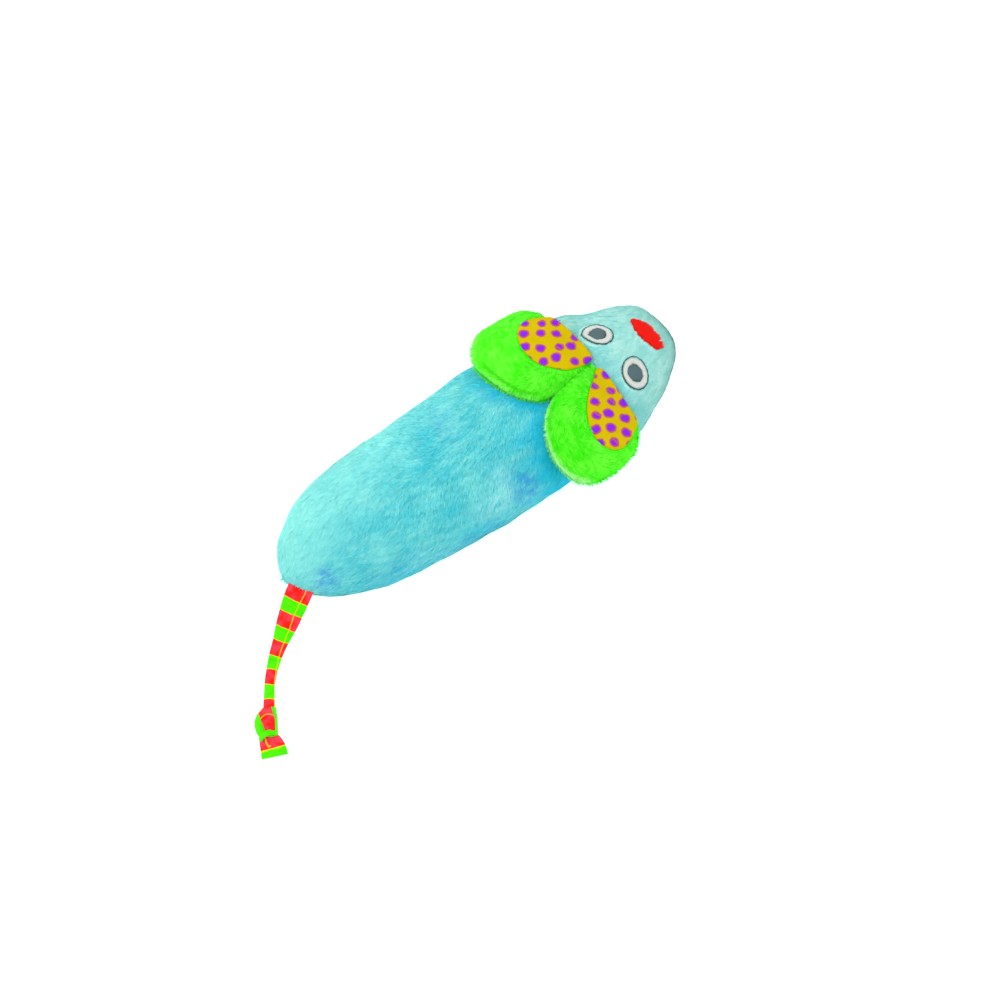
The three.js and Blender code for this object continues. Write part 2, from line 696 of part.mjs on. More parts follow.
// An oval plan outline, with its long axis at an angle from straight ahead.
function oval(centre, length, width, turnDeg) {
  return Array.from({ length: patchPoints }, (_, i) => {
    const angle = (2 * Math.PI * i) / patchPoints;
    const p = new THREE.Vector2(halfOf(length) * Math.cos(angle), halfOf(width) * Math.sin(angle));
    return p.rotateAround(new THREE.Vector2(), radians(turnDeg)).add(centre);
  });
}

// A low crowned patch of stitches that lies on the upper head panel.
function patch(outline) {
  const skinAt = (x, y) => skinHeight(headSection(x - neckX), y) + halfOf(clearance) + clearance;
  const crown = (share) => stitchHeight * blend(1, 1 / 2, share ** 2);
  return padSolid(outline, patchRingShares, (x, y, share) => skinAt(x, y) + crown(share), skinAt);
}

// Eyes
function addEye(side, word) {
  const centre = onFace(eyeForward, side * halfOf(eyeSpacing));
  const turn = faceTurnDeg + side * (90 + eyeSweepDeg);
  const ring = (shrink) => oval(centre, eyeLength - 2 * shrink, eyeWidth - 2 * shrink, turn);
  const pupil = oval(centre, pupilLength, pupilWidth, turn);
  const whole = patch(ring(0));
  const white = keepInside(whole, prism(ring(eyeOutlineWidth + clearance)));
  addPiece(`eye_${word}_outline`, cut(whole, prism(ring(eyeOutlineWidth))), materials.darkThread);
  addPiece(`eye_${word}_white`, cut(white, prism(offsetOutline(pupil, clearance))), materials.whiteThread);
  addPiece(`eye_${word}_pupil`, keepInside(whole, prism(pupil)), materials.greyThread);
}

// Nose, a lens with pointed ends across the snout, rounder in front than behind
function addNose() {
  const centre = onFace(noseForward, noseSide);
  const outline = Array.from({ length: patchPoints }, (_, i) => {
    const angle = (2 * Math.PI * i) / patchPoints;
    const across = Math.cos(angle);
    const ahead = Math.sin(angle) * Math.abs(Math.sin(angle)) ** (1 / 2);
    const widthShare = ahead > 0 ? noseFrontShare : 1 - noseFrontShare;
    const p = new THREE.Vector2(noseWidth * widthShare * ahead, halfOf(noseLength) * across);
    return p.rotateAround(new THREE.Vector2(), radians(faceTurnDeg)).add(centre);
  });
  addPiece("nose_patch", patch(outline), materials.redThread);
}

// Tail
function addTail() {
  addPiece("tail_tab", tailTab(0), materials.redRibbon);
  addPiece("tail_base", ribbonStretch(0, tailBendShare), materials.greenRibbon);
  addPiece("tail_middle", ribbonStretch(tailBendShare, tailSwingShare), materials.redRibbon);
  const narrow = ribbonStretch(tailSwingShare, 1, halfOf(ribbonWidthAt(tailSwingShare)));
  addPiece("tail_narrow", narrow, materials.greenRibbon);
}

// The knot is a plump core with a wrap of ribbon round its waist, on the ribbon's heading.
function addKnot() {
  const heading = tailCurve.getTangentAt(1).setZ(0).normalize();
  const turn = Math.atan2(heading.y, heading.x);
  const leftward = heading.clone().cross(upward);
  const centre = tailCurve.getPointAt(1)
    .addScaledVector(heading, halfOf(knotLength) + clearance)
    .addScaledVector(leftward, knotSideways);
  const core = new THREE.SphereGeometry(1, knotSteps, knotSteps / 2);
  core.scale(halfOf(knotLength), halfOf(knotWidth - wrapDiameter), halfOf(knotHeight));
  const wrapRadius = halfOf(knotWidth - wrapDiameter);
  const wrap = new THREE.TorusGeometry(wrapRadius, halfOf(wrapDiameter), wrapSides, 2 * knotSteps);
  wrap.rotateY(Math.PI / 2);
  wrap.scale(1, 1, knotHeight / knotWidth);
  wrap.rotateZ(radians(wrapTiltDeg));
  const knot = join(core, wrap);
  knot.rotateZ(turn);
  knot.translate(centre.x, centre.y, centre.z);
  addPiece("tail_knot", knot, materials.greenRibbon);

  const out = new THREE.Vector3(1, 0, 0).applyAxisAngle(upward, radians(tailEndHeadingDeg));
  const start = centre.clone().addScaledVector(heading, halfOf(knotLength) + tailEndGap);
  const rings = [];
  for (let i = 0; i <= tailEndSteps; i += 1) {
    const along = i / tailEndSteps;
    const place = start.clone().addScaledVector(out, tailEndLength * along);
    place.z = blend(start.z, tailEndThickness, smooth(along));
    rings.push(ribbonRing(place, out, blend(tailEndNeckWidth, tailEndWidth, along), tailEndThickness));
  }
  addPiece("tail_end", ringSolid(rings), materials.redRibbon);
}

addBody();
addClosingStitches();
addHead();
addNeckThread();
addEar(1, "left");
addEar(-1, "right");
addEye(1, "left");
addEye(-1, "right");
addNose();
addTail();
addKnot();

export default toy;
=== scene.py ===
"""A plush mouse cat toy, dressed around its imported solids: piled skins, stitched features, ribbon tail."""
import json
import math

import bmesh
import bpy
import numpy as np
from bpy.props import FloatProperty, FloatVectorProperty, IntProperty, PointerProperty
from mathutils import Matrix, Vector
from mathutils.bvhtree import BVHTree


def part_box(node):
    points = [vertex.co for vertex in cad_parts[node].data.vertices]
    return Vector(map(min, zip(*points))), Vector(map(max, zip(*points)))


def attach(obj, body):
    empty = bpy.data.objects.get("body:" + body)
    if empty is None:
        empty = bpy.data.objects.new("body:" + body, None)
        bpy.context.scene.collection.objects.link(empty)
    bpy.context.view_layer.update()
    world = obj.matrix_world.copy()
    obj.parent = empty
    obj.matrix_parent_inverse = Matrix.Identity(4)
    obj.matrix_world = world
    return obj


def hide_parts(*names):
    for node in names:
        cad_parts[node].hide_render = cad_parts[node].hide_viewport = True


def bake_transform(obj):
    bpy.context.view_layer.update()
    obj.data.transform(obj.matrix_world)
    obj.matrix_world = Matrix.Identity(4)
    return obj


bl_info = {
    "name": "Plush Mouse Cat Toy",
    "version": (1, 0, 0),
    "blender": (4, 5, 0),
    "location": "3D View > Sidebar > Mouse Toy",
    "description": "Builds a stuffed plush mouse with padded ears and a knotted ribbon tail",
    "category": "Object",
}

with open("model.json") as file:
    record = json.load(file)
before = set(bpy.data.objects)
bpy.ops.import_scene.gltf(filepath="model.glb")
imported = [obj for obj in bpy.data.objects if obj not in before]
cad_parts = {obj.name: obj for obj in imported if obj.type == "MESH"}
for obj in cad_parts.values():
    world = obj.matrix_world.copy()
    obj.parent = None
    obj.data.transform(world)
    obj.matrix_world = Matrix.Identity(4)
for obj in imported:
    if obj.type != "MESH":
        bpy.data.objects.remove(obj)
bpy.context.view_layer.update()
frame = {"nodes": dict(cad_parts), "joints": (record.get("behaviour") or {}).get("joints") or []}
MM = 0.001
TURN = 2 * math.pi
TINY = 1e-12
# How far over and beside the toy the rays start that find its surface
OVERHEAD, BESIDE = 0.2, 0.09


def linear(red, green, blue):
    """A colour picked on screen, from 0 to 255 a channel, as Blender's linear values."""
    shares = (c / 255 for c in (red, green, blue))
    return tuple(c / 12.92 if c <= 0.04045 else ((c + 0.055) / 1.055) ** 2.4 for c in shares)


def length_setting(default, name, description):
    """A length that the user can set."""
    return FloatProperty(
        name=name, description=description, default=default, min=0, unit="LENGTH", precision=5
    )


def colour_setting(default, name, description):
    """A colour that the user can set."""
    return FloatVectorProperty(
        name=name, description=description, default=default, size=3, subtype="COLOR", min=0, max=1
    )


def share_setting(default, name, description):
    """A share from 0 to 1 that the user can set."""
    return FloatProperty(name=name, description=description, default=default, min=0, max=1, subtype="FACTOR")


def angle_setting(default, name, description):
    """An angle that the user can set."""
    return FloatProperty(name=name, description=description, default=default, subtype="ANGLE")


# Settings

class PileSettings(bpy.types.PropertyGroup):
    length: length_setting(4.6 * MM, "Fibre length", "Length of one fibre of the plush pile")
    width: length_setting(0.4 * MM, "Fibre width", "Width of one fibre at its middle")
    rise: share_setting(0.13, "Rise", "How far the pile stands up, from lying flat to upright")
    clump: share_setting(0.14, "Clumping", "How far the tips of nearby fibres draw together")
    clump_size: length_setting(1.7 * MM, "Clump size", "Width of one clump of fibres")
    wander: share_setting(0.3, "Swirl", "How far the direction of the pile wanders")
    stray: angle_setting(0.17, "Stray", "How far single fibres turn from the pile's direction")
    density: FloatProperty(
        name="Density", description="Fibres on each square millimetre", default=5.0, min=0.1, max=8
    )
    seed: IntProperty(name="Seed", description="Seed of every random draw of the pile", default=7)


class PlushColours(bpy.types.PropertyGroup):
    body: colour_setting(linear(66, 198, 210), "Body", "Main blue of the body's plush")
    # The paler blue is also painted as a highlight over the far side, and as painted light on the skin
    # between the fibres
    body_light: colour_setting(linear(150, 239, 230), "Body light", "Paler blue of brushed pile")
    # Deeper blue close to the ears, which also paints the ears' shadow on the back
    body_deep_and_ear_shadow: colour_setting(linear(30, 192, 222), "Body deep", "Deeper blue close to the ears")
    # The royal blue is also painted as the shade of a soft fold on the back
    body_patch: colour_setting(linear(56, 150, 226), "Body patch", "Royal blue of pile brushed askew")
    body_wisp: colour_setting(linear(168, 232, 240), "Body wisps", "Bluish white of the pile's brushed wisps")
    head: colour_setting(linear(145, 219, 212), "Head", "Pale blue of the head's plush")
    # The palest colour is also painted light on the head's skin between the fibres
    head_light: colour_setting(linear(192, 242, 233), "Head light", "Palest fibres of the head")
    ear: colour_setting(linear(60, 236, 8), "Ear", "Green of the ears' plush")
    ear_light: colour_setting(linear(122, 254, 66), "Ear light", "Brightest fibres of the ears")
    ear_tip: colour_setting(linear(220, 250, 200), "Ear rim", "Pale fibre tips on the ears' rear rims")


class ClothColours(bpy.types.PropertyGroup):
    lining: colour_setting(linear(212, 190, 0), "Lining", "Yellow ground of the ear linings")
    lining_shade: colour_setting(linear(200, 174, 0), "Lining shade", "Deeper yellow of the ear linings")
    spot: colour_setting(linear(134, 36, 226), "Spots", "Purple of the printed spots")
    spot_edge: colour_setting(linear(186, 84, 88), "Spot edge", "Mauve where a spot's ink meets the yellow")
    ribbon_red: colour_setting(linear(242, 26, 14), "Ribbon red", "Red bands of the tail ribbon")
    ribbon_worn: colour_setting(linear(252, 74, 96), "Ribbon worn", "Paler, pinker red of a worn band")
    ribbon_green: colour_setting(linear(80, 236, 0), "Ribbon green", "Green bands of the tail ribbon")
    ribbon_line: colour_setting(linear(220, 214, 20), "Ribbon line", "Thin yellow lines woven in the ribbon")


class ThreadColours(bpy.types.PropertyGroup):
    outline: colour_setting(linear(46, 92, 102), "Eye outline", "Dark thread round each eye")
    white: colour_setting(linear(210, 215, 208), "Eye white", "White thread of the eyes")
    pupil: colour_setting(linear(88, 112, 116), "Pupil", "Slate thread of the pupils")
    nose: colour_setting(linear(236, 18, 0), "Nose", "Red thread of the nose")
    seam: colour_setting(linear(96, 196, 206), "Seams", "Sewing thread of the seams")


class StitchSettings(bpy.types.PropertyGroup):
    pitch: length_setting(0.46 * MM, "Pitch", "Distance from one satin stitch to the next")
    thread: length_setting(0.6 * MM, "Thread", "Width of one satin stitch")
    lift: length_setting(0.7 * MM, "Lift", "Height of the stitches over the skin")


class RibbonSettings(bpy.types.PropertyGroup):
    width: length_setting(13.4 * MM, "Width", "Width of the ribbon where it lies flat")
    thickness: length_setting(0.4 * MM, "Thickness", "Thickness of the ribbon")
    red: length_setting(7.84 * MM, "Red band", "Length of one red band")
    green: length_setting(6.82 * MM, "Green band", "Length of one green band")
    start: length_setting(3.55 * MM, "Hidden start", "Length of the first band inside the rump seam")
    line: length_setting(0.42 * MM, "Line", "Width of a yellow line")


class StageSettings(bpy.types.PropertyGroup):
    azimuth: angle_setting(math.radians(-34.34), "Azimuth", "Camera angle round the toy")
    elevation: angle_setting(math.radians(70), "Elevation", "Camera angle over the floor")
    across: length_setting(0.48, "Width in view", "Real width of what the camera frames")
    lens: FloatProperty(name="Lens", description="Focal length of the camera", default=600, unit="CAMERA")
    floor: colour_setting(linear(252, 252, 252), "Floor", "Colour of the studio floor")


SETTINGS = {
    "mouse_pile": PileSettings,
    "mouse_plush": PlushColours,
    "mouse_cloth": ClothColours,
    "mouse_thread": ThreadColours,
    "mouse_stitch": StitchSettings,
    "mouse_ribbon": RibbonSettings,
    "mouse_stage": StageSettings,
}


def setting(name):
    """One group of the user's settings."""
    return getattr(bpy.context.scene, name)


# Shader maths

class Value:
    """One socket's value, so that shader maths reads as a Python expression."""

    def __init__(self, net, socket):
        self.net, self.socket = net, socket

    def __add__(self, other):
        return self.net.maths("ADD", self, other)

    __radd__ = __add__

    def __sub__(self, other):
        return self.net.maths("SUBTRACT", self, other)

    def __rsub__(self, other):
        return self.net.maths("SUBTRACT", other, self)

    def __mul__(self, other):
        return self.net.maths("MULTIPLY", self, other)

    __rmul__ = __mul__

    def __truediv__(self, other):
        return self.net.maths("DIVIDE", self, other)

    def __abs__(self):
        return self.net.maths("ABSOLUTE", self)

    def __mod__(self, other):
        return self.net.maths("FLOORED_MODULO", self, other)

    def above(self, edge, soft=0.0):
        """1 where the value is over an edge, with a soft step round it."""
        if not soft:
            return self.net.maths("GREATER_THAN", self, edge)
        step = {"From Min": edge - soft, "From Max": edge + soft, "Value": self}
        return self.net.add("ShaderNodeMapRange", {"interpolation_type": "SMOOTHSTEP"}, step)

    def larger(self, other):
        return self.net.maths("MAXIMUM", self, other)

    def smaller(self, other):
        return self.net.maths("MINIMUM", self, other)


class Net:
    """A material's node tree, with one method that adds any node."""

    def __init__(self, name):
        self.material = bpy.data.materials.new(name)
        self.material.use_nodes = True
        self.tree = self.material.node_tree
        self.shader = self.tree.nodes["Principled BSDF"]

    def add(self, kind, settings=None, sockets=None, output=0):
        """Adds a node with its settings and the values or links of its sockets, and gives one output."""
        node = self.tree.nodes.new(kind)
        for key, value in (settings or {}).items():
            setattr(node, key, value)
        for key, value in (sockets or {}).items():
            self.feed(node.inputs[key], value)
        return Value(self, node.outputs[output])

    def feed(self, socket, value):
        if isinstance(value, Value):
            self.tree.links.new(value.socket, socket)
        elif hasattr(value, "__len__") and len(value) == 3 and socket.type == "RGBA":
            socket.default_value = (*value, 1)
        else:
            socket.default_value = value

    def maths(self, operation, first, second=None):
        sockets = {0: first} if second is None else {0: first, 1: second}
        return self.add("ShaderNodeMath", {"operation": operation}, sockets)

    def mix(self, share, first, second):
        """A colour from first at share 0 to second at share 1."""
        colours = {0: share, 6: first, 7: second}
        return self.add("ShaderNodeMix", {"data_type": "RGBA"}, colours, output=2)

    def place(self):
        """The place on the piece, in metres."""
        return self.add("ShaderNodeTexCoord", output="Object")

    def noise(self, scale, detail=2.0, rough=0.5):
        """Soft noise from 0 to 1, with that many lumps on a metre."""
        sockets = {"Vector": self.place(), "Scale": scale, "Detail": detail, "Roughness": rough}
        return self.add("ShaderNodeTexNoise", sockets=sockets)

    def attribute(self, name, output="Fac"):
        return self.add("ShaderNodeAttribute", {"attribute_name": name}, output=output)

    def bump(self, height, strength, distance):
        sockets = {"Height": height, "Strength": strength, "Distance": distance}
        return self.add("ShaderNodeBump", sockets=sockets)

    def finish(self, colour, roughness, normal=None, **fixed):
        """Feeds the shader: colour, roughness and normal from nodes or fixed, the rest fixed only."""
        self.feed(self.shader.inputs["Base Color"], colour)
        self.feed(self.shader.inputs["Roughness"], roughness)
        if normal is not None:
            self.feed(self.shader.inputs["Normal"], normal)
        for name, value in fixed.items():
            self.feed(self.shader.inputs[name.replace("_", " ").title().replace("Ior", "IOR")], value)
        return self.material


# Finishes

# Scales of the finishes' noise, in lumps on a metre
KNIT_LOOPS, KNIT_CLOUDS = 900, 60
SPOT_WOBBLE, COTTON_CLOUDS = 260, 90
STRIPE_WOBBLE, LINE_DRIFT, RIBBON_WEAR = 230, 150, 210
THREAD_TWIST, THREAD_FLOSS, FLUFF = 1500, 2600, 120
# How high the finishes' bumps stand
KNIT_BUMP, COTTON_BUMP, RIBBON_BUMP, THREAD_BUMP, FLUFF_BUMP = 0.4 * MM, 0.12 * MM, 0.1 * MM, 0.1 * MM, 2 * MM
# The lining's spots: spots on a metre, their scatter, and how far ink and rim reach in a spot's cell
SPOT_SCALE, SPOT_SCATTER, INK_REACH, RIM_REACH = 130.0, 0.34, 0.222, 0.33
# The slashes in some spots: slashes on a metre, and the share of spots that stay whole
SLASH_SCALE, WHOLE_SHARE = 115.0, 0.6
# The distance between threads of the cotton and of the ribbon, and the ribbon's threads across its width
COTTON_PITCH, RIBBON_PITCH, RIBBON_THREADS = 0.32 * MM, 0.42 * MM, 30
# How far the ribbon's bands and its long line stray from straight
BAND_STRAY, LINE_STRAY = 0.9 * MM, 1.1 * MM
FLOOR_GLOW = 0.54


def knit_backing(name, colour, shade):
    """The knitted ground of the plush, which shows between the fibres."""
    net = Net(name)
    loops = net.noise(KNIT_LOOPS, 2)
    tint = net.mix(net.noise(KNIT_CLOUDS, 3), shade, colour)
    return net.finish(tint, 0.95, net.bump(loops, 0.6, KNIT_BUMP), specular_ior_level=0.1)


def pile_finish(name):
    """Plush fibres: each has its own tint in the mesh."""
    net = Net(name)
    return net.finish(net.attribute("fibre", "Color"), 0.85, specular_ior_level=0.1)


def weave(net, pitch):
    """The height of a plain weave of that pitch, over and under across X and Y."""
    wave = TURN / (2 * pitch)
    place = net.add("ShaderNodeSeparateXYZ", sockets={0: net.place()})
    across = Value(net, place.socket.node.outputs["X"])
    along = Value(net, place.socket.node.outputs["Y"])
    return net.maths("SINE", across * wave) * net.maths("SINE", along * wave)


def spotted_cotton(colours):
    """Yellow cotton printed with loose, uneven purple spots."""
    net = Net("spotted_cotton")
    wobble = net.noise(SPOT_WOBBLE, 2)
    pull = {0: 0.0016, 4: net.place(), 5: Value(net, wobble.socket.node.outputs["Color"])}
    bent = net.add("ShaderNodeMix", {"data_type": "VECTOR"}, pull, output=1)
    lie = {"Vector": bent, "Scale": (1.0, 1.06, 0.0), "Rotation": (0, 0, 0.5)}
    flat = net.add("ShaderNodeMapping", sockets=lie)
    cells = {"Vector": flat, "Scale": SPOT_SCALE, "Randomness": SPOT_SCATTER}
    away = net.add("ShaderNodeTexVoronoi", {"voronoi_dimensions": "2D"}, cells, output="Distance")
    drawn = Value(net, away.socket.node.outputs["Color"])
    chance = net.add("ShaderNodeSeparateColor", sockets={0: drawn})
    away = away + (wobble - 0.5) * 0.12 + (chance - 0.5) * 0.07
    waves = {"Vector": flat, "Scale": SLASH_SCALE}
    slash = net.add("ShaderNodeTexWave", {"bands_direction": "DIAGONAL"}, waves)
    gap = slash.above(0.93, 0.03) * chance.above(WHOLE_SHARE)
    ink = (1 - away.above(INK_REACH, 0.03)) * (1 - gap)
    rim = 1 - away.above(RIM_REACH, 0.045)
    ground = net.mix(net.noise(COTTON_CLOUDS, 3), colours.lining_shade, colours.lining)
    threads = weave(net, COTTON_PITCH)
    # Darker and browner where the weave sinks: painted shade between the threads
    ground = net.mix(threads * 0.5 + 0.5, net.mix(0.16, ground, (0.25, 0.14, 0.0)), ground)
    tint = net.mix(ink, net.mix(rim, ground, colours.spot_edge), colours.spot)
    return net.finish(tint, 0.88, net.bump(threads, 0.35, COTTON_BUMP), specular_ior_level=0.05)


def striped_ribbon(colours, ribbon):
    """Woven bands of red and green with yellow lines at their edges and one along the ribbon."""
    net = Net("striped_ribbon")
    length = ribbon.red + ribbon.green
    run = net.attribute("run") + (net.noise(STRIPE_WOBBLE, 1) - 0.5) * BAND_STRAY
    along = (run / length) % 1
    red_share = ribbon.red / length
    is_green = along.above(red_share)
    from_edge = abs(along - red_share).smaller(along).smaller(1 - along) * length
    edge_line = 1 - from_edge.above(ribbon.line * 0.45, ribbon.line * 0.25)
    drift = (net.noise(LINE_DRIFT, 2) - 0.5) * LINE_STRAY
    long_line = 1 - abs(net.attribute("line") + drift).above(ribbon.line * 0.46, ribbon.line * 0.25)
    woven = net.mix(is_green, colours.ribbon_red, colours.ribbon_green)
    worn = net.mix(is_green, colours.ribbon_worn, darker(colours.ribbon_green, 0.8))
    patchy = net.noise(RIBBON_WEAR, 3).above(0.5, 0.16)
    bands = net.mix(patchy * 0.7, woven, worn)
    tint = net.mix(edge_line.larger(long_line) * 0.85, bands, colours.ribbon_line)
    picks = net.maths("SINE", net.attribute("run") * (TURN / RIBBON_PITCH))
    ends = net.maths("SINE", net.attribute("side") * (TURN * RIBBON_THREADS))
    relief = net.bump(picks * 0.6 + ends * 0.4, 0.25, RIBBON_BUMP)
    return net.finish(tint, 0.6, relief, specular_ior_level=0.06)


def darker(colour, share):
    """A colour with that share of its light."""
    return tuple(c * share for c in colour)


def satin_thread(name, colour, shade=0.7):
    """Shiny embroidery thread with a fine twist along each stitch."""
    net = Net(name)
    tint = net.mix(net.noise(THREAD_TWIST, 1), darker(colour, shade), colour)
    relief = net.bump(net.noise(THREAD_FLOSS, 1), 0.3, THREAD_BUMP)
    return net.finish(tint, 0.42, relief, specular_ior_level=0.12)


def loose_fibre(name, colour):
    """Fluffy filling: pale fibre with soft lumps."""
    net = Net(name)
    fluff = net.noise(FLUFF, 4, 0.7)
    # Darker in the hollows of the fluff's lumps: painted shade
    tint = net.mix(fluff, darker(colour, 0.82), colour)
    return net.finish(tint, 1.0, net.bump(fluff, 0.8, FLUFF_BUMP), sheen_weight=0.3)


def studio_floor(colour):
    """A matt floor that glows a little, so that it stays white."""
    net = Net("studio_floor")
    tint = net.mix(net.noise(3, 2), darker(colour, 0.995), colour)
    glow = {"emission_color": (1.0, 1.0, 1.0), "emission_strength": FLOOR_GLOW}
    return net.finish(tint, 0.9, specular_ior_level=0.1, **glow)


# Sheets of points

def unit(vectors):
    """The same directions with length 1."""
    return vectors / np.maximum(np.linalg.norm(vectors, axis=-1, keepdims=True), TINY)


def smoothstep(value, low, high):
    """A share that rises smoothly from 0 at low to 1 at high."""
    t = np.clip((value - low) / (high - low), 0, 1)
    return t * t * (3 - 2 * t)


LUMP_WAVES, LUMP_RANGE = 12, 4.2


def lumps(places, scale, seed):
    """Smooth random heights, mostly from -1 to 1, at places in space, from a few slanted waves."""
    draw = np.random.default_rng(seed)
    total = np.zeros(places.shape[:-1])
    for _ in range(LUMP_WAVES):
        heading = unit(draw.normal(size=3))
        total += np.sin(places @ heading * (TURN / scale) * draw.uniform(0.6, 1.7) + draw.uniform(0, TURN))
    return total / LUMP_RANGE


class Surface:
    """A grid of points whose columns close on themselves."""

    def __init__(self, points):
        self.points = points

    def steps(self):
        """The vectors to the next row and the next column at each point."""
        down = np.gradient(self.points, axis=0)
        along = (np.roll(self.points, -1, 1) - np.roll(self.points, 1, 1)) / 2
        return down, along

    def normals(self):
        """Outward normals, where outward is away from the grid's middle."""
        down, along = self.steps()
        normal = np.cross(down, along)
        size = np.linalg.norm(normal, axis=2, keepdims=True)
        middle = self.points.reshape(-1, 3).mean(axis=0)
        outward = self.points - middle
        normal = np.where(size > TINY, normal / np.maximum(size, TINY), unit(outward))
        if (normal * outward).sum() < 0:
            normal = -normal
        return normal

    def scatter(self, density, draw, keep):
        """Random places on the surface: positions, normals and their row and column shares."""
        down, along = self.steps()
        area = np.linalg.norm(np.cross(down, along), axis=2)
        rows, columns = area.shape
        cells = area[:-1]
        count = int(cells.sum() * density / MM**2)
        spread = (np.arange(count) + draw.random(count)) / count
        picked = np.minimum(np.searchsorted(np.cumsum(cells.ravel()) / cells.sum(), spread), cells.size - 1)
        i, j = np.divmod(picked, columns)
        s, t = draw.random(count)[:, None], draw.random(count)[:, None]
        after = (j + 1) % columns

        def at(grid):
            near = grid[i, j] * (1 - t) + grid[i, after] * t
            far = grid[i + 1, j] * (1 - t) + grid[i + 1, after] * t
            return near * (1 - s) + far * s

        places, outward = at(self.points), unit(at(self.normals()))
        shares = np.stack([(i + s[:, 0]) / (rows - 1), (j + t[:, 0]) / columns], axis=1)
        kept = keep(places, shares)
        return places[kept], outward[kept], shares[kept]


def new_mesh(name, points, faces, material):
    """A smooth-shaded piece from points and faces."""
    mesh = bpy.data.meshes.new(name)
    mesh.from_pydata(np.asarray(points).reshape(-1, 3).tolist(), [], faces)
    mesh.materials.append(material)
    mesh.polygons.foreach_set("use_smooth", [True] * len(mesh.polygons))
    mesh.validate()
    return new_piece(name, mesh)


def new_piece(name, mesh):
    piece = bpy.data.objects.new(name, mesh)
    bpy.context.collection.objects.link(piece)
    return piece


def carry(piece, values, copies=1):
    """Puts named numbers on a piece's points, the same for each copy of its grid."""
    for key, numbers in values.items():
        layer = piece.data.attributes.new(key, "FLOAT", "POINT")
        layer.data.foreach_set("value", np.tile(np.asarray(numbers, float).ravel(), copies))


MERGE_WITHIN = 0.002 * MM


def merge_close(piece):
    """Joins points that lie on each other, such as the rows that close a tip, and turns faces out."""
    work = bmesh.new()
    work.from_mesh(piece.data)
    bmesh.ops.remove_doubles(work, verts=work.verts, dist=MERGE_WITHIN)
    bmesh.ops.dissolve_degenerate(work, edges=work.edges, dist=MERGE_WITHIN)
    bmesh.ops.recalc_face_normals(work, faces=work.faces)
    work.to_mesh(piece.data)
    work.free()
    return piece


def ring_faces(first, rows, columns):
    """The faces of a tube of rings, each ring's points in a row, with both ends capped."""
    faces = []
    for i in range(rows - 1):
        for j in range(columns):
            a, b = first + i * columns + j, first + i * columns + (j + 1) % columns
            faces.append((a, b, b + columns, a + columns))
    faces.append(tuple(first + j for j in range(columns))[::-1])
    faces.append(tuple(first + (rows - 1) * columns + j for j in range(columns)))
    return faces


def ring_mesh(name, surface, material):
    """A closed piece from a grid whose first and last rows are capped."""
    rows, columns = surface.points.shape[:2]
    return new_mesh(name, surface.points, ring_faces(0, rows, columns), material)


def strip_mesh(name, top, bottom, material, values):
    """A closed strip of cloth between two open grids of the same size, with named numbers on its points."""
    rows, columns = top.shape[:2]
    size = rows * columns
    faces = []
    for i in range(rows - 1):
        for j in range(columns - 1):
            a = i * columns + j
            faces.append((a, a + 1, a + columns + 1, a + columns))
            faces.append((size + a, size + a + columns, size + a + columns + 1, size + a + 1))
    for i in range(rows - 1):
        for a, turned in ((i * columns, False), (i * columns + columns - 1, True)):
            side = (a, a + columns, size + a + columns, size + a)
            faces.append(side[::-1] if turned else side)
    for j in range(columns - 1):
        for a, turned in ((j, True), ((rows - 1) * columns + j, False)):
            side = (a, a + 1, size + a + 1, size + a)
            faces.append(side[::-1] if turned else side)
    piece = new_mesh(name, np.concatenate([top.reshape(-1, 3), bottom.reshape(-1, 3)]), faces, material)
    carry(piece, values, copies=2)
    return piece


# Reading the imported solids

def tree_of(*nodes):
    """A search tree over the faces of some nodes."""
    points, faces = [], []
    for name in nodes:
        mesh = frame["nodes"][name].data
        first = len(points)
        points += [v.co.copy() for v in mesh.vertices]
        faces += [tuple(first + k for k in p.vertices) for p in mesh.polygons]
    return BVHTree.FromPolygons(points, faces)


def rump_tree(nodes, behind):
    """A search tree over the rounded rump as if its seam had no slit for the tail."""
    work = bmesh.new()
    for name in nodes:
        for vertex in frame["nodes"][name].data.vertices:
            if vertex.co.x < behind:
                work.verts.new(vertex.co)
    hull = bmesh.ops.convex_hull(work, input=work.verts)
    spare = [v for v in hull["geom_interior"] + hull["geom_unused"] if isinstance(v, bmesh.types.BMVert)]
    bmesh.ops.delete(work, geom=list(set(spare)), context="VERTS")
    tree = BVHTree.FromBMesh(work)
    work.free()
    return tree


def first_hit(trees, start, heading, fallback):
    """Where a ray first meets any of the trees."""
    start, heading = Vector(start), Vector(heading)
    hits = [hit for hit in (tree.ray_cast(start, heading)[0] for tree in trees) if hit is not None]
    return np.array(min(hits, key=lambda hit: (hit - start).length)) if hits else np.array(fallback)


def height_at(tree, x, y, from_below=False):
    """The height of a solid's top or underside over a plan place, or none beside it."""
    start, heading = (-OVERHEAD, 1) if from_below else (OVERHEAD, -1)
    hit = tree.ray_cast(Vector((x, y, start)), Vector((0, 0, heading)))[0]
    return None if hit is None else hit.z


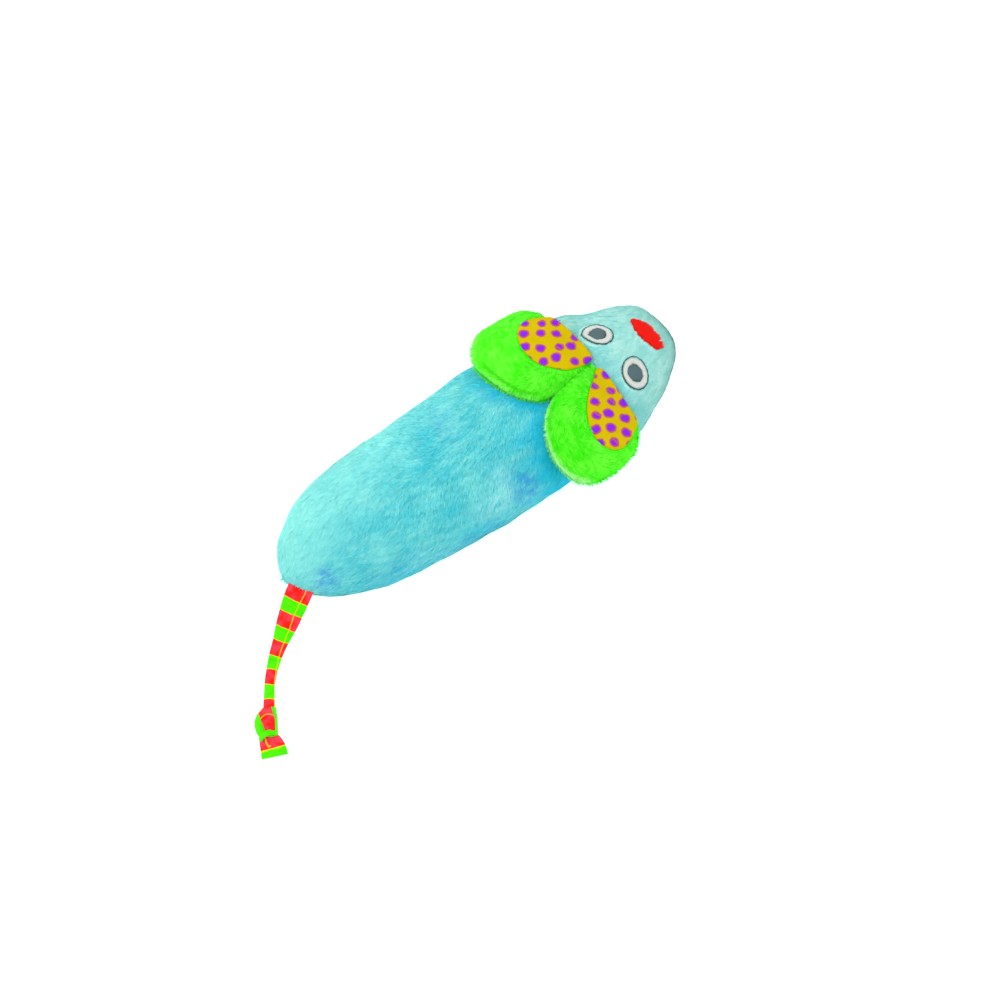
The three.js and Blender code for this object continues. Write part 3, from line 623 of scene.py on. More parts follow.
def plan_outline(node, points, share=0.0):
    """The plan outline of a convex node as evenly spaced points, smoothed by a share."""
    flat = sorted({(round(v.co.x, 7), round(v.co.y, 7)) for v in frame["nodes"][node].data.vertices})

    def half(ordered):
        chain = []
        for p in ordered:
            while len(chain) > 1 and (
                (chain[-1][0] - chain[-2][0]) * (p[1] - chain[-2][1])
                - (chain[-1][1] - chain[-2][1]) * (p[0] - chain[-2][0])
            ) <= 0:
                chain.pop()
            chain.append(p)
        return chain[:-1]

    hull = np.array(half(flat) + half(flat[::-1]))
    ring = np.vstack([hull, hull[:1]])
    lengths = np.r_[0, np.cumsum(np.linalg.norm(np.diff(ring, axis=0), axis=1))]
    at = np.linspace(0, lengths[-1], points, endpoint=False)
    outline = np.stack([np.interp(at, lengths, ring[:, k]) for k in (0, 1)], axis=1)
    for _ in range(int(share * points)):
        outline = (np.roll(outline, 1, 0) + 2 * outline + np.roll(outline, -1, 0)) / 4
    return outline


def facing(outline):
    """How each point of an anticlockwise outline faces, from -1 for the rump to 1 for the nose."""
    along = np.roll(outline, -1, 0) - np.roll(outline, 1, 0)
    return along[:, 1] / np.maximum(np.linalg.norm(along, axis=1), TINY)


def reach_of(outline, middle):
    """Makes the function that gives how far an outline reaches from a middle, by plan direction."""
    ring = outline - middle
    angles, reach = np.arctan2(ring[:, 1], ring[:, 0]), np.linalg.norm(ring, axis=1)
    return lambda away: np.interp(np.arctan2(away[..., 1], away[..., 0]), angles, reach, period=TURN)


def past_outline(outline):
    """Makes the function that gives how far places lie outside a plan outline, less than zero inside."""
    middle = outline.mean(axis=0)
    limit = reach_of(outline, middle)

    def gap(places):
        away = places[:, :2] - middle
        return np.linalg.norm(away, axis=1) - limit(away)

    return gap


def swollen(points, normals, swells):
    """Pushes a skin out round a few places: each a place, a radius and a height in millimetres."""
    rise = np.zeros(points.shape[:2])
    for place, radius, height in swells:
        away = np.linalg.norm(points - np.array(place) * MM, axis=2) / (radius * MM)
        rise += height * MM * (1 - smoothstep(away, 0, 1))
    return points + normals * rise[..., None]


def soften(points, rounds):
    """Evens out the facets of a wrapped grid, keeping its first and last rows in place along it."""
    for _ in range(rounds):
        around = (np.roll(points, 1, 1) + 2 * points + np.roll(points, -1, 1)) / 4
        inner = (around[:-2] + 2 * around[1:-1] + around[2:]) / 4
        points = np.concatenate([around[:1], inner, around[-1:]])
    return points


def extent(nodes):
    """The low and high corners of the box round some nodes."""
    low, high = zip(*(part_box(node) for node in nodes))
    return np.min(low, axis=0), np.max(high, axis=0)


# The height of the side seam as a share of a form's height
SEAM_SHARE = 0.45
# A reach is taken for a fall through a seam where it is under this share of its neighbours'
FALL_SHARE = 0.95


def wrapped(nodes, stations, columns, rump=None):
    """The outer skin of a stuffed form: rays from outside meet it round each station along X."""
    trees = [tree_of(*nodes)] + ([rump_tree(nodes, rump)] if rump is not None else [])
    seam = extent(nodes)[1][2] * SEAM_SHARE
    angles = TURN * np.arange(columns) / columns
    headings = np.stack([np.zeros(columns), np.cos(angles), np.sin(angles)], axis=1)
    rows = []
    for x in stations:
        sides = [first_hit(trees, (x, side * BESIDE, seam), (0, -side, 0), (x, 0, seam)) for side in (1, -1)]
        middle = (sides[0] + sides[1]) / 2
        hits = [first_hit(trees, middle + out * BESIDE, -out, middle) for out in headings]
        far = np.array([(hit - middle) @ out for hit, out in zip(hits, headings)])
        rows.append(middle + headings * bridged(far)[:, None])
    return np.array(rows)


def bridged(reach):
    """Reaches round a station, where one that fell through a seam takes the middle of its neighbours."""
    around = np.stack([np.roll(reach, k) for k in range(-4, 5)])
    usual = np.median(around, axis=0)
    return np.where(reach < usual * FALL_SHARE, usual, reach)


def tip_spacing(tip, start, count):
    """Stations from a round tip to where its form runs straight, closest at the tip."""
    return [tip + (start - tip) * (1 - math.cos(math.pi / 2 * i / count)) for i in range(1, count + 1)]


# Skins of the body and the head

# Rows over the rounded end, rows over the rest, and columns of each skin's grid
BODY_GRID, HEAD_GRID = (34, 58, 128), (20, 26, 120)
# How far the rounding of the rump and of the snout and the rump's closed hull reach from the tip
RUMP_ROUND, SNOUT_ROUND, RUMP_HULL = 50 * MM, 11 * MM, 36 * MM
# The gap between the last row and the open end of a panel at the neck
NECK_GAP = 0.05 * MM
# Lumps of the stuffing: width, seed, and height in millimetres
STUFFING_LUMPS = ((46 * MM, 3, 0.5), (17 * MM, 5, 0.22))
# Swellings of the flanks in millimetres: side, middle along X, where they start to fade and end, height
FLANK_SWELLS = ((1, 2, 56, 84, 1.5), (-1, -4, 20, 60, 0.8))
# How far the rump's end is drawn in, and how high the neck's gathers stand, in millimetres
RUMP_FLATTER, PUCKER_HEIGHT = 0.5, 0.35
PUCKERS, PUCKER_REACH = 11, 14 * MM
# Heights over the floor between which lumps and gathers fade in
FADE_IN = (0.2 * MM, 6 * MM)
# Round swellings: each a place, a radius and a height in millimetres
NECK_SWELLS = (((93, 36, 20), 15, 1.8),)
HEAD_SWELLS = (((135, -4, 18), 17, 1.5), ((125, 25, 18), 16, 0.8), *NECK_SWELLS)


def tip_row(row, x):
    """A row for a tip: all its points are one, in the middle of the row beside it and at the tip's X."""
    tip = row.mean(axis=0)
    tip[0] = x
    return np.repeat(tip[None, None], len(row), axis=1)


def on_floor(points):
    """The surface of a grid, with no point under the floor."""
    points[..., 2] = np.maximum(points[..., 2], 0.0)
    return Surface(points)


def body_surface():
    """The body's skin, with the lumps of its stuffing."""
    nodes = ("back_panel", "belly_panel")
    low, high = extent(nodes)
    round_rows, rows, columns = BODY_GRID
    straight = low[0] + RUMP_ROUND
    rest = np.linspace(straight, high[0] - NECK_GAP, rows)[1:]
    stations = tip_spacing(low[0], straight, round_rows) + list(rest)
    points = wrapped(nodes, stations, columns, low[0] + RUMP_HULL)
    points = soften(np.concatenate([tip_row(points[0], low[0]), points]), 2)
    normals = Surface(points).normals()
    x, z = points[..., 0], points[..., 2]
    swell = sum(lumps(points, width, seed) * height for width, seed, height in STUFFING_LUMPS)
    for side, middle, full, end, height in FLANK_SWELLS:
        along = 1 - smoothstep(abs(x - middle * MM), full * MM, end * MM)
        swell = swell + height * (smoothstep(side * normals[..., 1], 0.15, 0.9) * along)
    swell = swell - RUMP_FLATTER * smoothstep(-normals[..., 0], 0.5, 1)
    gathers = np.cos(np.arange(columns) * TURN * PUCKERS / columns)
    gathers = gathers * smoothstep(x, high[0] - PUCKER_REACH, high[0])
    rise = (swell + PUCKER_HEIGHT * gathers) * smoothstep(z, *FADE_IN) * MM
    return on_floor(swollen(points + normals * rise[..., None], normals, NECK_SWELLS))


def head_surface():
    """The head's skin."""
    nodes = ("head_top_panel", "head_under_panel")
    low, high = extent(nodes)
    round_rows, rows, columns = HEAD_GRID
    round_start = high[0] - SNOUT_ROUND
    tip = tip_spacing(high[0], round_start, round_rows)[::-1]
    stations = list(np.linspace(low[0] + NECK_GAP, round_start, rows)[:-1]) + tip
    points = wrapped(nodes, stations, columns)
    points = soften(np.concatenate([points, tip_row(points[-1], high[0])]), 2)
    return on_floor(swollen(points, Surface(points).normals(), HEAD_SWELLS))


# Pile

# Clumps are numbered cell by cell, with room for this many cells across
CELLS_ACROSS = 4096
# How deep fibres root under the skin, and how far they stay over the floor
ROOT_DEPTH, FLOOR_GAP = 0.2 * MM, 0.1 * MM
# Skin under this height presses on the floor and carries no fibres
PILE_FROM = 0.3 * MM
# Widths of the streaks of tint along the pile
FINE_STREAK, BROAD_STREAK = 2.2 * MM, 5 * MM
# How much lighter a fibre is at its root and tip; at the root this is painted light that lifts the shade deep
# in the pile
END_LIGHT = 1.06
# How far fibres are shaded as the skin under them and as blades of their own
SKIN_SHADING, BLADE_SHADING = 0.85, 0.3


def clumped(tips, places, size, pull, draw):
    """Draws the tips of fibres together over random clump middles."""
    cells = np.floor(places / size + 0.3 * lumps(places, 3.1 * size, 5)[:, None]).astype(int)
    cells -= cells.min(axis=0)
    keys = cells @ [1, CELLS_ACROSS, CELLS_ACROSS**2]
    _, index = np.unique(keys, return_inverse=True)
    index = index.ravel()
    counts = np.bincount(index)
    centre = np.stack([np.bincount(index, tips[:, k]) / counts for k in range(3)], axis=1)
    share = pull * draw.uniform(0.3, 1.0, len(counts))[index]
    return tips + (centre[index] - tips) * share[:, None]


def along_skin(lay, normals):
    """Directions laid flat on a skin."""
    return unit(lay - (lay * normals).sum(axis=1, keepdims=True) * normals)


def turned_about(lay, normals, angle):
    """Directions turned about a skin's normals."""
    return lay * np.cos(angle) + np.cross(normals, lay) * np.sin(angle)


def swirled(lay, normals, places, scale, amount, seed):
    """Lays directions on a skin and turns them by an angle that wanders from place to place."""
    angle = (lumps(places, scale, seed) * amount * math.pi * 0.6)[:, None]
    return turned_about(along_skin(lay, normals), normals, angle)


def pile_mesh(name, places, normals, lay, colours, pile, material, seed, long=1.0, bunched=1.0):
    """One mesh of bent fibres, narrow at both ends, that lie along a direction over a skin."""
    draw = np.random.default_rng(pile.seed + seed)
    count = len(places)
    lay = along_skin(lay, normals)
    lay = unit(turned_about(lay, normals, draw.normal(0, pile.stray, count)[:, None]))
    length = pile.length * long * draw.uniform(0.7, 1.15, count)[:, None]
    rise = pile.rise * draw.uniform(0.6, 1.3, count)[:, None]
    middle = places + length * 0.5 * unit(lay + normals * rise * 1.8)
    tips = middle + length * 0.5 * unit(lay + normals * rise * 0.3)
    tips = clumped(tips, places, pile.clump_size, pile.clump * bunched, draw)
    middle = clumped(middle, places, pile.clump_size, pile.clump * bunched * 0.3, draw)
    for ends in (tips, middle):
        ends[:, 2] = np.maximum(ends[:, 2], FLOOR_GAP)
    flat = unit(np.cross(normals, lay) + normals * draw.normal(0, 0.1, count)[:, None])
    half = pile.width / 2 * draw.uniform(0.7, 1.3, count)[:, None]
    roots, aside = places - normals * ROOT_DEPTH, flat * half
    points = np.stack([roots, middle - aside, middle + aside, tips], axis=1)
    mesh = fibre_mesh(name, points, count)
    mesh.materials.append(material)
    # Lighter roots are painted light against the shade between the fibres; the tips are paler too
    tint = np.repeat(colours[:, None], 4, axis=1) * np.array([END_LIGHT, 1, 1, END_LIGHT])[None, :, None]
    rgba = np.concatenate([np.clip(tint, 0, 1), np.ones((count, 4, 1))], axis=2)
    fibre = mesh.attributes.new("fibre", "FLOAT_COLOR", "POINT")
    fibre.data.foreach_set("color", rgba.ravel())
    shown = unit(normals * SKIN_SHADING + np.cross(lay, flat) * BLADE_SHADING)
    mesh.normals_split_custom_set_from_vertices(np.repeat(shown, 4, axis=0).tolist())
    tile_map(mesh, count)
    return new_piece(name, mesh)


def fibre_mesh(name, points, count):
    """A mesh of two triangles for each fibre's four points."""
    corners = (np.arange(count)[:, None] * 4 + [0, 1, 2, 1, 3, 2]).ravel()
    mesh = bpy.data.meshes.new(name)
    mesh.vertices.add(count * 4)
    mesh.vertices.foreach_set("co", points.ravel())
    mesh.loops.add(len(corners))
    mesh.loops.foreach_set("vertex_index", corners)
    mesh.polygons.add(count * 2)
    mesh.polygons.foreach_set("loop_start", np.arange(count * 2) * 3)
    mesh.polygons.foreach_set("use_smooth", [True] * (count * 2))
    mesh.update()
    return mesh


def tile_map(mesh, count):
    """Gives each fibre a small tile of its own in a flat map."""
    across = math.ceil(math.sqrt(count))
    tile = np.arange(count)
    corner = np.stack([tile % across, tile // across], axis=1)[:, None] / across
    root, near, far, tip = (0.5, 0.05), (0.05, 0.5), (0.95, 0.5), (0.5, 0.95)
    shape = np.array([root, near, far, near, tip, far]) / across
    layer = mesh.uv_layers.new(name="OFBake")
    layer.uv.foreach_set("vector", (corner + shape[None]).ravel())


def fibre_colours(places, base, light, draw, cloud, mix, seed=11, stretch=(0.22, 1, 1)):
    """A tint for each fibre: the base colour, paler in clouds, streaks along the pile and single fibres."""
    along = places * stretch
    streaks = lumps(along, FINE_STREAK, seed + 1) + 0.8 * lumps(along, BROAD_STREAK, seed + 2)
    share = 0.5 + 0.3 * lumps(places, cloud, seed) + 0.3 * streaks
    share = np.clip(share * mix + draw.normal(0, 0.12, len(places)), 0, 1)[:, None]
    return np.array(base)[None] * (1 - share) + np.array(light)[None] * share


def tinted(colours, other, share):
    """Colours drawn towards another by a share for each."""
    share = np.clip(share, 0, 1)[:, None]
    return colours * (1 - share) + np.array(other)[None] * share


# Stage

# The middle of the view on the floor in millimetres, and the width of the camera's sensor
VIEW_MIDDLE, SENSOR_WIDTH = (23, -19.2, 0), 36
# Lights by the camera: the place back, right and up from the view's middle, the size and the power
CAMERA_LIGHTS = (("key", (0.55, -0.45, 0.5), 0.9, 4.4), ("fill", (0.5, 0.8, -0.3), 1.2, 3.2))
# The light overhead: its height, size and power, and the strength of the even light from all round
TOP_LIGHT, SKY_STRENGTH = (1.1, 1.4, 2.0), 0.75
# Half the floor's side, its squares in a row, and how far it lies under the toy
FLOOR_HALF, FLOOR_SQUARES, FLOOR_DROP = 2.0, 8, 0.02 * MM


class MOUSE_OT_stage(bpy.types.Operator):
    """Adds the floor, the soft lights and the camera at the photograph's angle"""

    bl_idname = "mouse.stage"
    bl_label = "Stage"

    def execute(self, context):
        stage = setting("mouse_stage")
        scene = context.scene
        scene.view_settings.view_transform = "Standard"
        aim = np.array(VIEW_MIDDLE) * MM
        a, e = stage.azimuth, stage.elevation
        back = np.array([math.sin(a) * math.cos(e), -math.cos(a) * math.cos(e), math.sin(e)])
        camera = bpy.data.cameras.new("camera")
        camera.lens, camera.sensor_width = stage.lens, SENSOR_WIDTH
        distance = stage.across * stage.lens / SENSOR_WIDTH
        camera.clip_start, camera.clip_end = distance * 0.1, distance * 4
        scene.camera = self.aimed(scene, "camera", camera, aim, back * distance)
        self.lights(scene, aim, back)
        self.floor(stage)
        return {"FINISHED"}

    def aimed(self, scene, name, data, aim, place):
        """A camera or a light at a place from the middle of the view, turned to it."""
        piece = bpy.data.objects.new(name, data)
        piece.location = aim + place
        piece.rotation_euler = Vector(-place).to_track_quat("-Z", "Y").to_euler()
        scene.collection.objects.link(piece)
        return piece

    def lights(self, scene, aim, back):
        """A key and a fill light by the camera, one overhead, and an even light from all round."""
        right = unit(np.cross([0, 0, 1], back))
        ways = np.array([back, right, np.cross(back, right)])
        height, top_size, top_power = TOP_LIGHT
        lights = [(name, np.array(place) @ ways, size, power) for name, place, size, power in CAMERA_LIGHTS]
        lights.append(("top", np.array([0, 0, height]), top_size, top_power))
        for name, place, size, power in lights:
            light = bpy.data.lights.new(name, "AREA")
            light.size, light.energy = size, power
            self.aimed(scene, name, light, aim, place)
        world = bpy.data.worlds.new("studio")
        world.use_nodes = True
        world.node_tree.nodes["Background"].inputs["Color"].default_value = (1, 1, 1, 1)
        world.node_tree.nodes["Background"].inputs["Strength"].default_value = SKY_STRENGTH
        scene.world = world

    def floor(self, stage):
        """A flat floor of a few squares, just under the toy."""
        columns = FLOOR_SQUARES + 1
        corners = np.linspace(-FLOOR_HALF, FLOOR_HALF, columns)
        grid = np.array([[(x, y, -FLOOR_DROP) for x in corners] for y in corners])
        faces = []
        for i in range(FLOOR_SQUARES):
            for j in range(FLOOR_SQUARES):
                a = i * columns + j
                faces.append((a, a + 1, a + columns + 1, a + columns))
        floor = new_mesh("floor", grid, faces, studio_floor(stage.floor))


# Body

# The back's pile ends at this share of the belly panel's height, and the rump's pile ahead of this place
BACK_FROM_SHARE, RUMP_TO = 0.8, 2 * MM
# Widths of the pile's swirls, of its pale clouds, and of the far side's paler stretch, which is a painted
# highlight
BODY_SWIRL, BODY_CLOUD, FAR_SIDE_HIGHLIGHT_REACH = 62 * MM, 26 * MM, 50 * MM
# The deeper blue round the ears, partly real deeper blue and partly the ears' painted shadow: its reach, how
# uneven its edge is, and where it fades by height and across
DEEP_BANDS = (("left", 12 * MM), ("right", 19 * MM))
DEEP_EDGE, DEEP_EDGE_WIDTH = 2.5 * MM, 12 * MM
DEEP_HEIGHTS, DEEP_ACROSS = (4 * MM, 22 * MM), (16 * MM, 32 * MM)
# Widths of single paler and deeper places and of the streaks in the patches
DEEP_CLOUD, PATCH_STREAK = 16 * MM, 2.6 * MM
# Patches of pile in another tint: the middle and half sizes in millimetres, the colour and its strength; the
# last is painted shade in a soft fold of the back
BODY_PATCHES = (
    ((3, -14, 38), (13, 9, 12), "body", 0.6),
    ((14, -28, 34), (18, 10, 14), "body_wisp", 0.5),
    ((24, -19, 38), (10, 11, 12), "body_wisp", 0.5),
    ((31, -29, 33), (11, 15, 16), "body_patch", 0.8),
    ((-71, -14, 28), (9, 10, 13), "body_patch", 0.75),
    ((-34, -27, 24), (36, 12, 14), "body_patch", 0.3),
    ((2, -36, 22), (32, 12, 12), "body_patch", 0.35),
    # Painted shade of a soft fold on the back, in the royal blue
    ((17, 13, 40), (8, 15, 12), "body_patch", 0.3),
)
# Points of the plan outlines that pile keeps away from or is tinted round
OUTLINE_POINTS = 48


class MOUSE_OT_body(bpy.types.Operator):
    """Wraps the body in its plush: one sewn skin of the two panels, and the pile on it"""

    bl_idname = "mouse.body"
    bl_label = "Body"

    def execute(self, context):
        colours, pile = setting("mouse_plush"), setting("mouse_pile")
        surface = body_surface()
        # The skin takes the paler blue as its ground: painted light that lifts the shade where it shows
        # between the fibres
        backing = knit_backing("body_backing", colours.body_light, colours.body)
        skin = merge_close(ring_mesh("body_skin", surface, backing))
        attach(skin, "root")
        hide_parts("back_panel", "belly_panel")
        finish = pile_finish("body_pile")
        seam = BACK_FROM_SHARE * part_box("belly_panel")[1][2]
        draw = np.random.default_rng(pile.seed)
        places, normals, _ = surface.scatter(pile.density, draw, lambda p, _: p[:, 2] > PILE_FROM)
        on_back, ahead = places[:, 2] >= seam, places[:, 0] > RUMP_TO
        parts = {
            "body_back_pile": on_back & ahead,
            "body_rump_pile": on_back & ~ahead,
            "body_belly_pile": ~on_back,
        }
        for name, side in parts.items():
            piece = self.pile(name, places[side], normals[side], colours, pile, finish, draw)
            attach(piece, "root")
        return {"FINISHED"}

    def pile(self, name, places, normals, colours, pile, finish, draw):
        """Fibres that lie towards the rump and down the sides, tinted by where they grow, with a painted
        highlight on the far side and the ears' painted shadow.
        """
        x, y, _ = places.T
        lay = np.array([-1.0, -0.22, -0.35]) + normals * [0, 0.45, 0]
        lay = swirled(lay, normals, places, BODY_SWIRL, pile.wander, 21)
        tint = fibre_colours(places, colours.body, colours.body_light, draw, BODY_CLOUD, 0.52)
        # The far side is drawn towards the paler blue: a painted highlight
        far_side_highlight = smoothstep(y - 0.45 * x, 0, FAR_SIDE_HIGHLIGHT_REACH) * 0.8
        tint = tinted(tint, colours.body_light, far_side_highlight + draw.normal(0, 0.08, len(x)))
        # Deeper blue round the ears, with the ears' painted shadow on the back
        deep = self.deep_and_ear_shadow(places) * 0.95 + 0.1 * lumps(places * [0.5, 1, 1], DEEP_CLOUD, 31)
        tint = tinted(tint, colours.body_deep_and_ear_shadow, deep)
        for number, (spot, size, name_of, depth) in enumerate(BODY_PATCHES):
            away = np.linalg.norm((places - np.array(spot) * MM) / (np.array(size) * MM), axis=1)
            streaky = 0.6 + 0.5 * lumps(places * [0.25, 1, 1], PATCH_STREAK, 43 + number)
            streaky = streaky + draw.normal(0, 0.25, len(x))
            tint = tinted(tint, getattr(colours, name_of), depth * (1 - smoothstep(away, 0.1, 1)) * streaky)
        return pile_mesh(name, places, normals, lay, tint, pile, finish, seed=len(name))

    def deep_and_ear_shadow(self, places):
        """How close to the ears places on the back are, from 0 to 1: the share of deeper blue and of the
        ears' painted shadow.
        """
        _, y, z = places.T
        uneven = DEEP_EDGE * lumps(places, DEEP_EDGE_WIDTH, 35)
        near = np.zeros(len(places))
        for word, width in DEEP_BANDS:
            gap = past_outline(plan_outline(f"ear_{word}_back", OUTLINE_POINTS))(places) + uneven
            near = np.maximum(near, 1 - smoothstep(gap, 0, width))
        return near * (smoothstep(z, *DEEP_HEIGHTS) * (1 - 0.6 * smoothstep(y, *DEEP_ACROSS)))


# Head

# How far fibres stay from the eyes and the nose, and the height under which they grow freely again
STITCH_GAP, FACE_FROM = 0.15 * MM, 15 * MM
# Widths of the pile's swirls, pale clouds and faint blue clouds
HEAD_SWIRL, HEAD_CLOUD, HEAD_BLUE_CLOUD = 40 * MM, 14 * MM, 10 * MM
# Where the body's blue fades from the neck seam on, and where that fades towards the far side
NECK_BLUE, NECK_BLUE_ACROSS = (2 * MM, 16 * MM), (6 * MM, 20 * MM)


class MOUSE_OT_head(bpy.types.Operator):
    """Wraps the head in its paler plush"""

    bl_idname = "mouse.head"
    bl_label = "Head"

    def execute(self, context):
        colours, pile = setting("mouse_plush"), setting("mouse_pile")
        surface = head_surface()
        # The skin takes the palest colour as its ground: painted light that lifts the shade where it shows
        # between the fibres
        backing = knit_backing("head_backing", colours.head_light, colours.head)
        skin = merge_close(ring_mesh("head_skin", surface, backing))
        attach(skin, "root")
        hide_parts("head_top_panel", "head_under_panel")
        draw = np.random.default_rng(pile.seed + 1)
        patches = ("eye_left_outline", "eye_right_outline", "nose_patch")
        gaps = [past_outline(plan_outline(node, OUTLINE_POINTS)) for node in patches]

        def keep(places, _):
            clear = places[:, 2] > PILE_FROM
            for gap in gaps:
                clear &= (gap(places) > STITCH_GAP) | (places[:, 2] < FACE_FROM)
            return clear

        places, normals, _ = surface.scatter(pile.density, draw, keep)
        lay = np.array([-1.0, 0.1, 0.1])[None] + normals * [0, 0.4, 0]
        lay = swirled(lay, normals, places, HEAD_SWIRL, pile.wander * 0.8, 23)
        tint = fibre_colours(places, colours.head, colours.head_light, draw, HEAD_CLOUD, 0.75)
        seam = 1 - smoothstep(places[:, 0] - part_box("head_top_panel")[0][0], *NECK_BLUE)
        seam *= 1 - 0.8 * smoothstep(places[:, 1], *NECK_BLUE_ACROSS)
        tint = tinted(tint, colours.body, 0.32 * seam + 0.1 * lumps(places, HEAD_BLUE_CLOUD, 37))
        finish = pile_finish("head_pile")
        piece = pile_mesh("head_pile", places, normals, lay, tint, pile, finish, seed=50, long=0.7)
        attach(piece, "root")
        return {"FINISHED"}


# Ears

# An ear's skin: points round its outline, rings of them, and how far out the last ring lies
EAR_POINTS, EAR_RINGS, EAR_REACH = 112, 22, 0.996
# How deep the lining is let in, and the places inside its outline between which the skin sinks
LINING_DEPTH, LINING_EDGE = 0.9 * MM, (-0.4 * MM, 1.4 * MM)
# How far from the neck seam an ear thins out, and the share of its thickness that is left there
ROOT_REACH, ROOT_SHARE = 8 * MM, 0.4
# How far an ear's skin swells over its solid away from the neck seam, as a share, and where that fades in
FULLER_SHARE, FULLER_FROM = 0.03, (4 * MM, 16 * MM)
# The seam groove behind an ear's rim: its depth, how far in it lies, and half its width in the skin and in
# its painted shade, then where it fades in behind the ear's middle and where it fades out across the toy
GROOVE_DEPTH, GROOVE_PLACE, GROOVE_WIDTH, GROOVE_SHADE_WIDTH = 0.8 * MM, 2.2 * MM, 0.7 * MM, 0.55 * MM
GROOVE_START, GROOVE_BEHIND, GROOVE_ACROSS = 6 * MM, 10 * MM, (22 * MM, 31 * MM)
# Each ear's rim: how deep the groove and its painted shade are, and how pale, how far out and how bunched the
# fibre tips are
EAR_RIMS = {"left": (1.0, 0.22, 0.7, 1.4), "right": (0.45, 0.7, 0.3, 0.7)}
# How far fibres stay from the lining, along its sides and at the neck seam
LINING_GAP, LINING_ROOT_GAP, NECK_WIDTH = 0.3 * MM, 2.4 * MM, 3 * MM
# Distances from the rim between which fibres turn outward, and between which they are pale
FRINGE, PALE_RIM = (0.5 * MM, 3 * MM), (0.3 * MM, 1.6 * MM)
# Depths in the lining, less than zero outside it, between which fibres turn away from it
LINING_FRINGE = (-4 * MM, -0.5 * MM)
EAR_SWIRL, EAR_CLOUD = 30 * MM, 16 * MM


def groove_fade(y):
    """How strong the seam groove is across the toy, from 1 between the ears to little at their outer ends."""
    return 1 - 0.85 * smoothstep(abs(y), *GROOVE_ACROSS)


